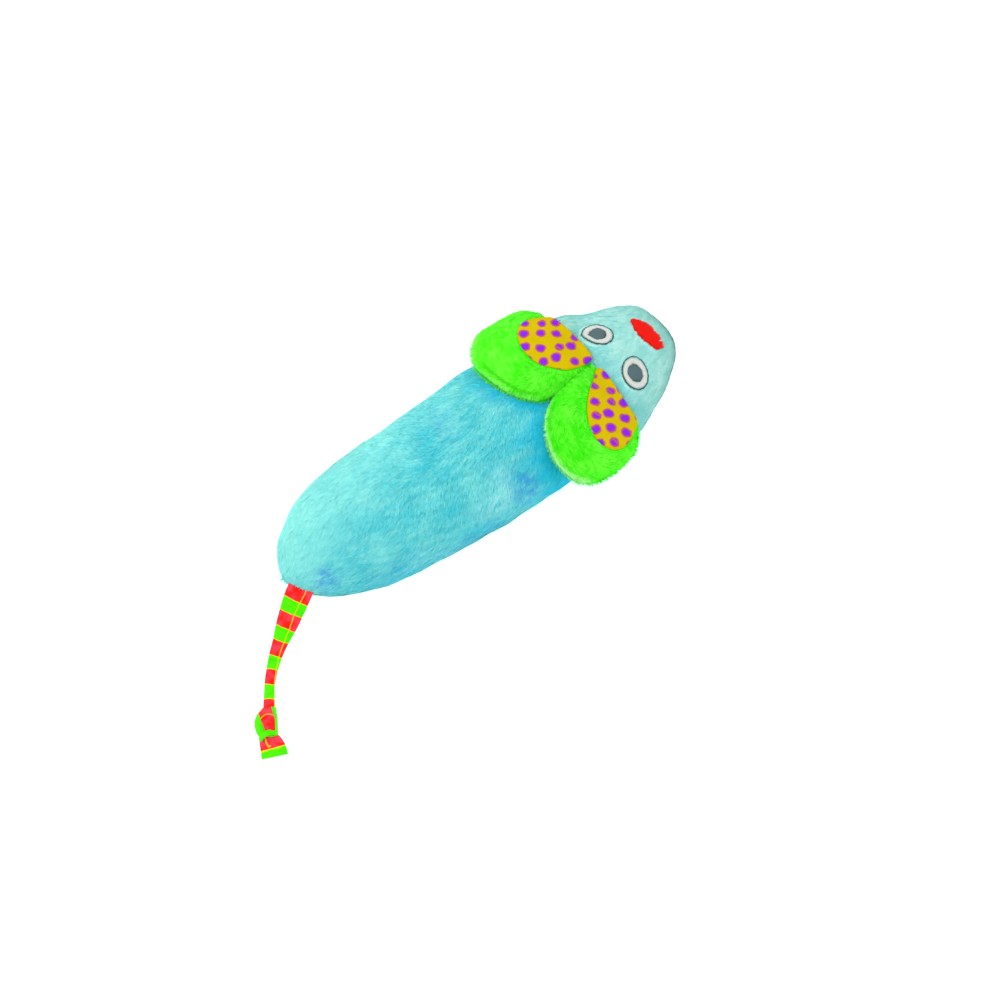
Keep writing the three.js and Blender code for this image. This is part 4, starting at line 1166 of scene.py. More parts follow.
class MOUSE_OT_ears(bpy.types.Operator):
    """Wraps each padded ear in green plush round its spotted cotton lining"""

    bl_idname = "mouse.ears"
    bl_label = "Ears"

    def execute(self, context):
        colours, pile = setting("mouse_plush"), setting("mouse_pile")
        backing = knit_backing("ear_backing", colours.ear, darker(colours.ear, 0.85))
        finish = pile_finish("ear_pile")
        cotton = spotted_cotton(setting("mouse_cloth"))
        for number, word in enumerate(("left", "right")):
            self.ear(word, colours, pile, backing, finish, cotton, number)
        return {"FINISHED"}

    def heights(self, tree, flat, from_below=False):
        """A solid's height over each plan place, or the next ring's inwards where a ray misses it."""
        found = np.array([[height_at(tree, x, y, from_below) for x, y in ring] for ring in flat], float)
        for i in range(1, len(found)):
            missing = np.isnan(found[i])
            found[i][missing] = found[i - 1][missing]
        return found

    def ear(self, word, colours, pile, backing, finish, cotton, number):
        """One ear: its skin, its lining and its pile."""
        body = f"ear_{word}"
        outline = plan_outline(f"ear_{word}_back", EAR_POINTS, 0.03)
        petal = Petal(f"ear_{word}_lining")
        surface = self.skin_surface(word, outline, petal)
        skin = merge_close(ring_mesh(f"{body}_skin", surface, backing))
        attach(skin, body)
        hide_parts(f"ear_{word}_back", f"ear_{word}_front")
        skin_tree = BVHTree.FromPolygons(
            [v.co for v in skin.data.vertices], [tuple(p.vertices) for p in skin.data.polygons]
        )
        lining = petal.cloth(f"{body}_lining_cloth", skin_tree, cotton)
        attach(lining, body)
        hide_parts(f"ear_{word}_lining")
        self.pile(word, surface, petal, colours, pile, finish, outline, number)

    def skin_surface(self, word, outline, petal):
        """An ear's skin, let in round its lining, thinner at the neck and grooved behind its rim."""
        middle, root_x = outline.mean(axis=0), outline[:, 0].max()
        shares = np.sin(np.linspace(0, math.pi / 2, EAR_RINGS)) * EAR_REACH
        flat = middle + (outline - middle)[None] * shares[:, None, None]
        top = self.heights(tree_of(f"ear_{word}_front", f"ear_{word}_lining"), flat)
        under = self.heights(tree_of(f"ear_{word}_back"), flat, from_below=True)
        top = top - LINING_DEPTH * smoothstep(petal.depth(flat), *LINING_EDGE)
        from_root = smoothstep(root_x - flat[..., 0], 0, ROOT_REACH)
        top = under + (top - under) * (ROOT_SHARE + (1 - ROOT_SHARE) * from_root)
        rim = np.linalg.norm(flat - outline, axis=2)
        behind = smoothstep(middle[0] + GROOVE_START - flat[..., 0], 0, GROOVE_BEHIND)
        groove = groove_fade(flat[..., 1]) * np.exp(-((rim - GROOVE_PLACE) / GROOVE_WIDTH) ** 2)
        top = top - GROOVE_DEPTH * EAR_RIMS[word][0] * behind * groove
        over = np.concatenate([flat, top[..., None]], axis=2)
        below = np.concatenate([flat, under[..., None]], axis=2)
        points = soften(np.concatenate([over, below[::-1]]), 2)
        fuller = 1 + FULLER_SHARE * smoothstep(root_x - points[..., :1], *FULLER_FROM)
        points[..., :2] = middle + (points[..., :2] - middle) * fuller
        return Surface(points)

    def pile(self, word, surface, petal, colours, pile, finish, outline, number):
        """Fibres that follow the ear's outline, with painted shade in the seam groove near its rim, and pale
        on the rim.
        """
        draw = np.random.default_rng(pile.seed + 2 + number)
        middle = outline.mean(axis=0)
        groove_depth, paleness, fringe, bunched = EAR_RIMS[word]

        def keep(places, shares):
            on_top = shares[:, 0] < 0.56
            away = np.linalg.norm(places[:, None, :2] - outline, axis=2)
            at_root = (away.min(axis=1) < NECK_WIDTH) & (facing(outline)[away.argmin(axis=1)] > 0.65)
            return ~(on_top & (petal.depth(places[:, :2]) > -np.where(at_root, LINING_ROOT_GAP, LINING_GAP)))

        places, normals, shares = surface.scatter(pile.density, draw, keep)
        outward = unit(np.pad(places[:, :2] - middle, ((0, 0), (0, 1))))
        around = np.cross(outward, [0, 0, 1.0]) * (1 if number == 0 else -1)
        away = np.linalg.norm(places[:, None, :2] - outline, axis=2)
        rim = away.min(axis=1)
        edge = 1 - smoothstep(rim, *FRINGE)
        lay = around * (0.9 - 0.5 * edge)[:, None] + outward * (0.3 + fringe * edge)[:, None]
        from_petal = unit(np.pad(places[:, :2] - petal.middle, ((0, 0), (0, 1))))
        lay = lay + from_petal * smoothstep(petal.depth(places[:, :2]), *LINING_FRINGE)[:, None]
        lay = swirled(lay, normals, places, EAR_SWIRL, pile.wander * 0.6, 27 + number)
        tint = fibre_colours(places, colours.ear, colours.ear_light, draw, EAR_CLOUD, 0.66, 13, (0.6, 0.6, 1))
        behind = smoothstep(-facing(outline)[away.argmin(axis=1)], 0.25, 0.6)
        # Painted shade in the seam groove behind the rim: the fibres there are darkened
        groove = np.exp(-((rim - GROOVE_PLACE) / GROOVE_SHADE_WIDTH) ** 2) * (shares[:, 0] < 0.5) * behind
        groove *= groove_fade(places[:, 1])
        tint = tinted(tint, darker(colours.ear, 0.7), groove * 0.75 * groove_depth)
        pale = (1 - smoothstep(rim, *PALE_RIM)) * behind * draw.uniform(0.1, 1.2, len(rim))
        tint = tinted(tint, colours.ear_tip, pale * paleness)
        piece = pile_mesh(
            f"ear_{word}_pile", places, normals, lay, tint, pile, finish,
            seed=90 + number, long=0.68, bunched=bunched,
        )
        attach(piece, f"ear_{word}")


# A lining's outline: its points, how far its inner tip is drawn to the middle line and over what stretch,
# and how far its edge at the neck seam is drawn ahead
PETAL_POINTS, TIP_GROWN, TIP_STRETCH, ROOT_GROWN = 72, 2.2 * MM, 3.6 * MM, 1.1 * MM
# The lining's cloth: its rings, the last one's reach, and its top's and underside's heights over the skin
PETAL_RINGS, PETAL_REACH, CLOTH_TOP, CLOTH_UNDER = 14, 1.02, 0.55 * MM, 0.2 * MM


class Petal:
    """The plan outline of an ear's lining, and the cloth that fills it."""

    def __init__(self, node):
        outline = plan_outline(node, PETAL_POINTS, 0.02)
        inward = -math.copysign(1, outline[:, 1].mean())
        reach = outline[:, 1] * inward
        tip = smoothstep(reach, reach.max() - TIP_STRETCH, reach.max())
        self.outline = outline + np.outer(tip, [0, inward * TIP_GROWN])
        self.middle = self.outline.mean(axis=0)
        self.limit = reach_of(self.outline, self.middle)

    def depth(self, flat):
        """How far a plan place lies inside the outline, less than zero outside."""
        nearest = np.linalg.norm(flat[..., None, :] - self.outline, axis=-1).min(axis=-1)
        away = flat - self.middle
        return np.where(np.linalg.norm(away, axis=-1) < self.limit(away), nearest, -nearest)

    def cloth(self, name, tree, material):
        """The lining's cloth, laid over the skin of its ear."""
        rings = np.linspace(0, PETAL_REACH, PETAL_RINGS)
        grown = self.outline + smoothstep(facing(self.outline), 0.45, 0.8)[:, None] * [ROOT_GROWN, 0]
        flat = self.middle + (grown - self.middle)[None] * rings[:, None, None]
        lifted = np.empty((*flat.shape[:2], 3))
        for i, j in np.ndindex(flat.shape[:2]):
            x, y = flat[i, j]
            height = height_at(tree, x, y)
            lifted[i, j] = (x, y, lifted[max(i - 1, 0), j, 2] if height is None else height)
        lifted = soften(lifted, 2)
        top, under = lifted + [0, 0, CLOTH_TOP], lifted + [0, 0, CLOTH_UNDER]
        return merge_close(ring_mesh(name, Surface(np.concatenate([top, under[::-1]])), material))


# Face

# How far each eye reaches as a share of its solid's oval, by the angle in degrees round it
EYE_SHAPES = {
    "left": (
        (-34, 1.0), (12, 0.97), (56, 0.94), (99, 0.88), (130, 0.95),
        (146, 1.03), (162, 0.93), (192, 0.84), (236, 0.87), (280, 0.96),
    ),
    "right": ((-34, 1.02), (10, 1.06), (56, 1.16), (92, 1.06), (146, 1.03), (236, 1.0)),
}
FEATURE_POINTS = 96
# The dark ring's stitches: how far inside the outline they start and end, their lean and how uneven they are
DARK_START, DARK_END, DARK_LEAN, DARK_UNEVEN = 0.1 * MM, 0.55 * MM, 0.5 * MM, 0.25 * MM
# The white ring's: how far outside it they start and inside the pupil's outline they end, lean, unevenness
WHITE_START, WHITE_END, WHITE_LEAN, WHITE_UNEVEN = 0.35 * MM, 0.1 * MM, 0.6 * MM, 0.35 * MM
# How near an outline's points have to be to a stitch to end it, in the pupils and in the nose
PUPIL_NEAR, NOSE_NEAR = 0.5 * MM, 0.9 * MM
# How far a pupil's stitches end outside and inside its outline, and the nose's at its lower and upper edge
PUPIL_OVER, PUPIL_SHORT, NOSE_LOW_UNEVEN, NOSE_HIGH_UNEVEN = 0.4 * MM, 0.6 * MM, 0.4 * MM, 0.15 * MM
# How far each end of a nose stitch is slanted, and the nose's reach ahead as a share of its solid's, with
# what is added to that at the mouse's right
NOSE_SLANT, NOSE_FULLER, NOSE_FULLER_RIGHT = 0.5 * MM, 1.08, 0.3
# The height of a thread's middle over the skin
THREAD_HEIGHT = 0.35 * MM
# The height at which a stitch starts where it misses the head
STITCH_FALLBACK = 0.02
THREAD_SIDES, THREAD_STEPS = 6, 7


class MOUSE_OT_face(bpy.types.Operator):
    """Embroiders the eyes and the nose in satin stitch"""

    bl_idname = "mouse.face"
    bl_label = "Eyes and nose"

    def execute(self, context):
        threads, stitch = setting("mouse_thread"), setting("mouse_stitch")
        self.tree = tree_of("head_top_panel")
        self.stitch = stitch
        finishes = {
            "outline": satin_thread("outline_thread", threads.outline),
            "white": satin_thread("white_thread", threads.white, 0.86),
            "pupil": satin_thread("pupil_thread", threads.pupil, 0.8),
            "nose": satin_thread("nose_thread", threads.nose, 0.82),
        }
        slots = {"outline": "dark_thread", "white": "white_thread", "pupil": "grey_thread"}
        for number, word in enumerate(("left", "right")):
            draw = np.random.default_rng(60 + number)
            for part, slot in slots.items():
                node = f"eye_{word}_{part}"
                if part == "pupil":
                    paths = self.filled_oval(node, draw)
                else:
                    inner = f"eye_{word}_" + {"outline": "white", "white": "pupil"}[part]
                    paths = self.ringed_oval(node, inner, draw, part)
                width = stitch.thread * (0.62 if part == "outline" else 1)
                piece = self.stitches(f"{node}_stitches", paths, finishes[part], width)
                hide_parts(node)
        draw = np.random.default_rng(77)
        lens = self.filled_lens("nose_patch", draw)
        piece = self.stitches("nose_stitches", lens, finishes["nose"], stitch.thread)
        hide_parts("nose_patch")
        return {"FINISHED"}

    def outline_of(self, node):
        """A node's plan outline, where an eye's is drawn to the eye's own shape."""
        outline = plan_outline(node, FEATURE_POINTS, 0.02)
        for word, shape in EYE_SHAPES.items():
            if f"eye_{word}" in node:
                middle = outline.mean(axis=0)
                away = outline - middle
                angles = np.degrees(np.arctan2(away[:, 1], away[:, 0]))
                outline = middle + away * np.interp(angles, *zip(*shape), period=360)[:, None]
        return outline

    def frame_of(self, node):
        """A node's plan outline with its middle, and its long axis and short axis, to the right and ahead."""
        outline = self.outline_of(node)
        middle = outline.mean(axis=0)
        _, _, axes = np.linalg.svd(outline - middle, full_matrices=False)
        axes = np.array([axes[0] * (-1 if axes[0][1] > 0 else 1), axes[1] * (-1 if axes[1][0] < 0 else 1)])
        local = (outline - middle) @ axes.T
        return middle, axes, np.abs(local).max(axis=0), local

    def ringed_oval(self, node, inner, draw, part):
        """Short stitches round an oval: across its edge for the dark ring, else in to the next oval."""
        outer = self.outline_of(node)
        middle = outer.mean(axis=0)
        limit = reach_of(self.outline_of(inner), middle)
        around = np.linalg.norm(np.diff(np.vstack([outer, outer[:1]]), axis=0), axis=1).sum()
        count = int(around / self.stitch.pitch * (1.1 if part == "outline" else 1.0))
        paths = []
        for k in range(count):
            whole, share = divmod(k * len(outer) / count, 1)
            edge, after = outer[int(whole) % len(outer)], outer[(int(whole) + 1) % len(outer)]
            edge = edge + (after - edge) * share
            away = edge - middle
            outward = away / np.linalg.norm(away)
            aside = np.array([-outward[1], outward[0]])
            if part == "outline":
                jag = draw.uniform(-DARK_UNEVEN, DARK_UNEVEN, 2)
                start = edge - outward * (DARK_START + jag[0])
                end = edge - outward * (DARK_END + jag[1]) + aside * DARK_LEAN
            else:
                jag = draw.uniform(-WHITE_UNEVEN, WHITE_UNEVEN, 2)
                start = edge + outward * (WHITE_START + 0.4 * jag[0])
                end = middle + outward * (limit(away) - WHITE_END + jag[1]) + aside * WHITE_LEAN
            paths.append((start, end))
        return paths

    def filled_oval(self, node, draw):
        """Parallel stitches along an oval's long axis, with uneven ends."""
        middle, axes, half, local = self.frame_of(node)
        paths = []
        for across in np.arange(-half[1], half[1], self.stitch.pitch * 0.9):
            near = local[np.abs(local[:, 1] - across) < PUPIL_NEAR, 0]
            if len(near):
                start = near.min() + draw.uniform(-PUPIL_OVER, PUPIL_SHORT)
                end = near.max() + draw.uniform(-PUPIL_SHORT, PUPIL_OVER)
                paths.append(tuple(middle + axes[0] * along + axes[1] * across for along in (start, end)))
        return paths

    def filled_lens(self, node, draw):
        """Slanting stitches across a lens, blunter at the mouse's right."""
        middle, axes, half, local = self.frame_of(node)
        paths = []
        for along in np.arange(-half[0], half[0] - NOSE_NEAR, self.stitch.pitch * 0.85):
            near = local[np.abs(local[:, 0] - along) < NOSE_NEAR, 1]
            if len(near):
                fuller = NOSE_FULLER + NOSE_FULLER_RIGHT * smoothstep(along / half[0], 0, 0.8)
                low = near.min() + draw.uniform(-NOSE_LOW_UNEVEN, NOSE_LOW_UNEVEN)
                high = near.max() * fuller + draw.uniform(-NOSE_HIGH_UNEVEN, NOSE_HIGH_UNEVEN)
                start = middle + axes[0] * (along - NOSE_SLANT) + axes[1] * low
                paths.append((start, middle + axes[0] * (along + NOSE_SLANT) + axes[1] * high))
        return paths

    def stitches(self, name, paths, material, width):
        """Arched threads over the skin, one for each path's two ends."""
        points, faces = [], []
        turns = [TURN * j / THREAD_SIDES for j in range(THREAD_SIDES)]
        for start, end in paths:
            length = np.linalg.norm(end - start)
            centre = []
            for t in np.linspace(0, 1, THREAD_STEPS):
                x, y = start + (end - start) * t
                height = height_at(self.tree, x, y)
                arch = math.sin(math.pi * t) ** 0.5 * min(self.stitch.lift, length * 0.3)
                centre.append((x, y, (STITCH_FALLBACK if height is None else height) + THREAD_HEIGHT + arch))
            centre = np.array(centre)
            ahead = unit(np.gradient(centre, axis=0))
            across = unit(np.cross(ahead, [0, 0, 1.0]))
            up = np.cross(across, ahead)
            faces += ring_faces(len(points), THREAD_STEPS, THREAD_SIDES)
            for i in range(THREAD_STEPS):
                radius = width / 2 * (0.45 if i in (0, THREAD_STEPS - 1) else 1)
                for a in turns:
                    points.append(centre[i] + radius * (across[i] * math.cos(a) + up[i] * math.sin(a) * 0.8))
        piece = new_mesh(name, points, faces, material)
        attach(piece, "root")
        return piece


# Tail

# The tail's route: how far back and to the right, as shares of its reach, and up, as a share of its height
TAIL_ROUTE_SHARES = (
    (0, 0, 1), (0.122, 0.085, 0.72), (0.269, 0.187, 0.36), (0.422, 0.3, 0.165),
    (0.569, 0.443, 0.137), (0.658, 0.563, 0.153), (0.71, 0.6385, 0.2),
)
# The ribbon's gathered width along the tail, as a share of its flat width
TAIL_WIDTH_SHARES = (
    (0, 0.95), (0.11, 0.9), (0.26, 0.79), (0.36, 0.67), (0.44, 0.54),
    (0.56, 0.45), (0.7, 0.37), (0.83, 0.34), (1, 0.4),
)
# How much of the ribbon's width is folded under on its left, along the tail, as a share of its flat width
LEFT_FOLD_SHARES = (
    (0, 0), (0.07, 0.05), (0.19, 0.14), (0.32, 0.2), (0.43, 0.31), (0.56, 0.36), (0.68, 0.38), (1, 0.34),
)
# Where the long line lies across the ribbon, as a share of its width from the left
LINE_PLACE = 0.68
TAIL_REACH, LEAD_IN, ROUTE_POINTS = 57 * MM, 6 * MM, 140
TAIL_HEADING = (-0.82, -0.57, 0.0)
# In millimetres, the ribbon's start from its joint and a shift there, and the first points' shares of it
ROOT_OFFSET, RUMP_SHIFT, RUMP_SHIFT_SHARES = (0.4, 0.25, -0.8), (1.25, -0.87, 0), (1, 1, 0.55, 0.15)
# The ribbon's section: its points, its folds' radii, its height over the route, and its arch from a height on
SECTION_POINTS, FOLD_RADII, SECTION_RISE = 49, (0.5 * MM, 0.8 * MM), 0.8 * MM
SECTION_ARCH, ARCH_FROM = 0.35 * MM, 0.5 * MM
# How far the bands are drawn together close to the knot
BAND_GATHER = 1.2 * MM
# The knot in millimetres: ahead from where the ribbon enters it, and to the left of its middle
KNOT_LEFT = ((-0.8, 2.0), (0.6, 3.2), (3.3, 5.3), (6.9, 6.8), (10, 6.6), (13, 5.6), (15.6, 3.6))
KNOT_RIGHT = ((-0.8, -2.6), (0.2, -3.6), (6, -4.3), (12, -4.2), (14.5, -3.4), (15.6, -2.4))
OVER_LEFT = ((-1.2, 2), (0.8, 2.9), (3.4, 5.1), (7.4, 3.85), (12.1, 1.95), (13.4, 1.5))
OVER_RIGHT = ((-1.2, -0.9), (0.2, -1.1), (4.5, -2.2), (7, -3), (12.1, -3.1), (13.4, -3.1))
FLARE_CORNERS = ((15, 4.7), (12.8, -4.2), (25.5, 3.4), (22.7, -9.2))
MARK_ROUTE = ((14.6, 1.9), (16.2, 1.55), (17.8, 1.1), (19.3, 0.2), (19.1, -0.7))
# Ahead and up: the knot's top, and the height of its underside
KNOT_HEIGHTS, KNOT_UNDER = ((-0.8, 4.6), (1.5, 5.8), (6, 7.2), (10, 6.6), (13.5, 4.6), (15.6, 2.2)), 0.6
# Ahead, to the left and up: the small turn's route, and its size along it as a share of its half sizes
TURN_ROUTE = (
    (15.6, 3.7, 1.5), (14.5, 3.1, 3.4), (13.7, 1.5, 4.9), (13.2, -0.5, 5.3),
    (13, -2.3, 4.4), (12.9, -3.4, 3), (12.9, -3.9, 1.7),
)
TURN_SIZE_SHARES = (
    (0, 1.1), (0.3, 1.12), (0.36, 0.88), (0.42, 1.08), (0.6, 0.95), (0.66, 0.72), (0.72, 0.85), (1, 0.6),
)
TURN_HALF_SIZES = (1.55 * MM, 0.95 * MM)
# Rows and columns of the knot's grids
KNOT_GRID, OVER_GRID, TURN_GRID, FLARE_GRID = (44, 56), (44, 33), (60, 28), (48, 49)
# A value that keeps the ribbon's long line off a piece
NO_LINE = 1.0


def table(at, points):
    """The value at a place in a table of places and values."""
    return np.interp(at, *zip(*points))


def rounded_route(points, count):
    """Evenly spaced points on a smooth curve through a few points, and the curve's length."""
    points = np.asarray(points, float)
    ends = np.vstack([2 * points[0] - points[1], points, 2 * points[-1] - points[-2]])
    fine = []
    for a, b, c, d in zip(ends, ends[1:], ends[2:], ends[3:]):
        knots = np.cumsum([0] + [np.linalg.norm(q - p) ** 0.5 for p, q in ((a, b), (b, c), (c, d))])
        for t in np.linspace(knots[1], knots[2], 24, endpoint=False):
            ab = a + (b - a) * (t - knots[0]) / (knots[1] - knots[0])
            bc = b + (c - b) * (t - knots[1]) / (knots[2] - knots[1])
            cd = c + (d - c) * (t - knots[2]) / (knots[3] - knots[2])
            abc = ab + (bc - ab) * (t - knots[0]) / (knots[2] - knots[0])
            bcd = bc + (cd - bc) * (t - knots[1]) / (knots[3] - knots[1])
            fine.append(abc + (bcd - abc) * (t - knots[1]) / (knots[2] - knots[1]))
    fine = np.array(fine + [points[-1]])
    lengths = np.r_[0, np.cumsum(np.linalg.norm(np.diff(fine, axis=0), axis=1))]
    at = np.linspace(0, lengths[-1], count)
    return np.stack([np.interp(at, lengths, fine[:, k]) for k in range(3)], axis=1), lengths[-1]


class MOUSE_OT_tail(bpy.types.Operator):
    """Sews the striped ribbon tail, gathered to its knot, with its flared end"""

    bl_idname = "mouse.tail"
    bl_label = "Tail"

    def execute(self, context):
        ribbon = setting("mouse_ribbon")
        self.ribbon = ribbon
        self.finish = striped_ribbon(setting("mouse_cloth"), ribbon)
        joints = {j["name"]: np.array(j["pos_m"]) for j in frame["joints"]}
        points, length = rounded_route(self.route(joints), ROUTE_POINTS)
        run = np.linspace(0, length, ROUTE_POINTS) - LEAD_IN
        self.reach = run[-1]
        cuts = self.cut_places(points, joints)
        bodies = (("root", "tail_base"), ("tail_base", "tail_middle"), ("tail_middle", "tail_tip"))
        names = (("tail_tab", "tail_base"), ("tail_middle",), ("tail_narrow",))
        for number, ((near, far), nodes) in enumerate(zip(bodies, names)):
            first, last = cuts[number], cuts[number + 1]
            piece = self.stretch(f"tail_ribbon_{number + 1}", points, run, first, last)
            joint = joints[("tail_lift", "tail_bend", "tail_swing")[number]]
            place = np.linalg.norm(points - joint, axis=1).argmin()
            start, end = points[max(first, place - 5)], points[min(last, place + 5)]
            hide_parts(*nodes)
            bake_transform(piece)
        self.knot(points)
        return {"FINISHED"}

    def route(self, joints):
        """The middle line of the ribbon, from inside the rump seam to the knot."""
        root = joints["tail_lift"] + np.array(ROOT_OFFSET) * MM
        route = [root - unit(np.array(TAIL_HEADING)) * LEAD_IN]
        for back, side, up in TAIL_ROUTE_SHARES:
            route.append(np.array([root[0] - back * TAIL_REACH, root[1] - side * TAIL_REACH, up * root[2]]))
        for number, share in enumerate(RUMP_SHIFT_SHARES):
            route[number] = route[number] + np.array(RUMP_SHIFT) * share * MM
        return route

    def cut_places(self, points, joints):
        """Where the ribbon's stretches meet: midway between joints, so that each stretch holds one joint."""
        places = [joints[name] for name in ("tail_lift", "tail_bend", "tail_swing")]
        at = [np.linalg.norm(points - place, axis=1).argmin() for place in places]
        return [0, (at[0] + at[1]) // 2, (at[1] + at[2]) // 2, len(points) - 1]

    def folded(self, share, width):
        """The ribbon's cross-section: how far across and how high each of its threads lies."""
        full = self.ribbon.width
        fold = table(share, LEFT_FOLD_SHARES) * full
        left, right = (radius * max(min((full - width) / (0.2 * full), 1), 0.1) for radius in FOLD_RADII)
        flat = width - left - right
        out, up = [], []
        for s in np.linspace(0, full, SECTION_POINTS):
            on_left, on_right = (fold - s, -flat / 2, left, -1), (s - fold - flat, flat / 2, right, 1)
            for inside, edge, radius, way in (on_left, on_right):
                if inside > 0:
                    turn = min(inside / radius, math.pi)
                    back = max(inside - math.pi * radius, 0)
                    out.append(edge + way * (radius * math.sin(turn) - back))
                    up.append(-radius * (1 - math.cos(turn)))
                    break
            else:
                out.append(s - fold - flat / 2)
                up.append(0.0)
        out, up = np.array(out), np.array(up) + SECTION_RISE
        crown = SECTION_ARCH * np.cos(np.clip(out / width, -0.5, 0.5) * math.pi)
        return out, up + crown * (up > ARCH_FROM)

    def stretch(self, name, points, run, first, last):
        """A stretch of ribbon between two places along the route, its sides folded under where it narrows."""
        ahead = unit(np.gradient(points, axis=0))
        across = unit(np.cross([0, 0, 1.0], ahead))
        up = np.cross(ahead, across)
        top, bottom, runs, sides = [], [], [], []
        for i in range(first, last + 1):
            share = max(run[i], 0) / self.reach
            width = self.ribbon.width * table(share, TAIL_WIDTH_SHARES)
            out, high = self.folded(share, width)
            line = points[i] + np.outer(out, across[i]) + np.outer(high, up[i])
            normal = unit(np.cross(ahead[i], np.gradient(line, axis=0)))
            top.append(line + normal * self.ribbon.thickness / 2)
            bottom.append(line - normal * self.ribbon.thickness / 2)
            gathered = BAND_GATHER * smoothstep(share, 0.8, 1)
            runs.append(np.full(len(out), run[i] + self.ribbon.start - gathered))
            sides.append(np.linspace(0, 1, len(out)))
        lines = (np.array(sides) - LINE_PLACE) * self.ribbon.width
        values = {"run": runs, "side": sides, "line": lines}
        return strip_mesh(name, np.array(top), np.array(bottom), self.finish, values)

    def knot(self, points):
        """The overhand knot, a wide red turn over green ones, and the flared end that hangs out of it."""
        heading = unit((points[-1] - points[-6]) * [1, 1, 0])
        self.start = points[-1] * [1, 1, 0]
        self.heading, self.left = heading, np.array([heading[1], -heading[0], 0])
        pieces = (self.knot_core(), self.knot_over(), self.knot_turn())
        for piece in pieces:
            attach(piece, "tail_tip")
        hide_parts("tail_knot")
        self.flare()

    def on_knot(self, ahead, left, height):
        """A place in the knot's own directions, in millimetres from where the ribbon enters it."""
        ahead, left, height = (np.asarray(v, float)[..., None] * MM for v in (ahead, left, height))
        return self.start + ahead * self.heading + left * self.left + height * [0, 0, 1]

    def core_height(self, ahead, across):
        """The height of the knot's core over a place, with across from -1 at its right to 1 at its left."""
        crown = table(ahead, KNOT_HEIGHTS)
        rounding = np.sqrt(np.clip(1 - across**2, 0, 1))
        return (crown + KNOT_UNDER) / 2 + (crown - KNOT_UNDER) / 2 * rounding

    def knot_core(self):
        """The green turns inside the knot, which show as a loop on its left and a strip on its right."""
        rows, columns = KNOT_GRID
        turns = np.linspace(0, TURN, columns, endpoint=False)
        rings, runs, sides = [], [], []
        for ahead in np.linspace(KNOT_LEFT[0][0], KNOT_LEFT[-1][0], rows):
            left, right, crown = (table(ahead, points) for points in (KNOT_LEFT, KNOT_RIGHT, KNOT_HEIGHTS))
            crease = 1 + 0.05 * np.cos(5 * turns + 0.15 * ahead) + 0.025 * np.cos(11 * turns - 0.3 * ahead)
            across = (left + right) / 2 + (left - right) / 2 * np.cos(turns) * crease
            height = (crown + KNOT_UNDER) / 2 + (crown - KNOT_UNDER) / 2 * np.sin(turns) * crease
            rings.append(self.on_knot(np.full(columns, ahead), across, height))
            runs.append(self.ribbon.red + (0.2 + 0.6 * (0.5 + 0.5 * np.cos(turns))) * self.ribbon.green)
            sides.append(np.full(columns, ahead * MM / self.ribbon.width))
        values = {"run": runs, "side": sides, "line": np.full(KNOT_GRID, NO_LINE)}
        return self.knot_piece("tail_knot_core", rings, values)

    def knot_piece(self, name, rings, values):
        piece = ring_mesh(name, Surface(np.array(rings)), self.finish)
        carry(piece, values)
        return piece

    def knot_over(self):
        """The wide red turn over the knot, with the ribbon's yellow line across it."""
        rows, columns = OVER_GRID
        top, bottom, runs, sides, lines = [], [], [], [], []
        for ahead in np.linspace(OVER_LEFT[0][0], OVER_LEFT[-1][0], rows):
            left, right, outer, inner = (
                table(ahead, points) for points in (OVER_LEFT, OVER_RIGHT, KNOT_LEFT, KNOT_RIGHT)
            )
            places = np.linspace(right, left, columns)
            across = np.clip((places - (outer + inner) / 2) / ((outer - inner) / 2), -1, 1)
            edge = (places - right) / (left - right)
            height = self.core_height(ahead, across) + 0.45 * np.sin(math.pi * edge) ** 0.5 + 0.1
            height -= 0.8 * smoothstep(abs(ahead - 6), 5.5, 8)
            line = self.on_knot(np.full(columns, ahead), places, height)
            top.append(line + [0, 0, self.ribbon.thickness])
            bottom.append(line)
            runs.append(np.full(columns, self.ribbon.red * 0.5) + (places * 0.2) * MM)
            sides.append(edge)
            lines.append((ahead - 5.1 - 2.0 * edge + 1.2 * np.sin(math.pi * edge)) * MM)
        values = {"run": runs, "side": sides, "line": lines}
        return strip_mesh("tail_knot_over", np.array(top), np.array(bottom), self.finish, values)

    def knot_turn(self):
        """The small green turn at the knot's end, with folds, that the flared end comes out of."""
        rows, columns = TURN_GRID
        path, _ = rounded_route(self.on_knot(*np.array(TURN_ROUTE).T), rows)
        steps = unit(np.gradient(path, axis=0))
        flat = unit(self.heading - (steps @ self.heading)[:, None] * steps)
        raised = np.cross(steps, flat)
        turns = np.linspace(0, TURN, columns, endpoint=False)
        wide, thick = TURN_HALF_SIZES
        rings = []
        for i, place in enumerate(path):
            shift = 1.5 * math.sin(i / rows * math.pi)
            crease = 1 + 0.13 * np.cos(4 * turns + shift) + 0.05 * np.cos(9 * turns)
            crease *= table(i / (rows - 1), TURN_SIZE_SHARES)
            ring = place + np.outer(np.cos(turns) * wide * crease, flat[i])
            rings.append(ring + np.outer(np.sin(turns) * thick * crease, raised[i]))
        along = (0.25 + 0.5 * np.linspace(0, 1, rows))[:, None]
        runs = self.ribbon.red + along * np.full(columns, self.ribbon.green)
        sides = np.repeat(turns[None] / TURN, rows, axis=0)
        values = {"run": runs, "side": sides, "line": np.full(TURN_GRID, NO_LINE)}
        return self.knot_piece("tail_knot_turn", rings, values)

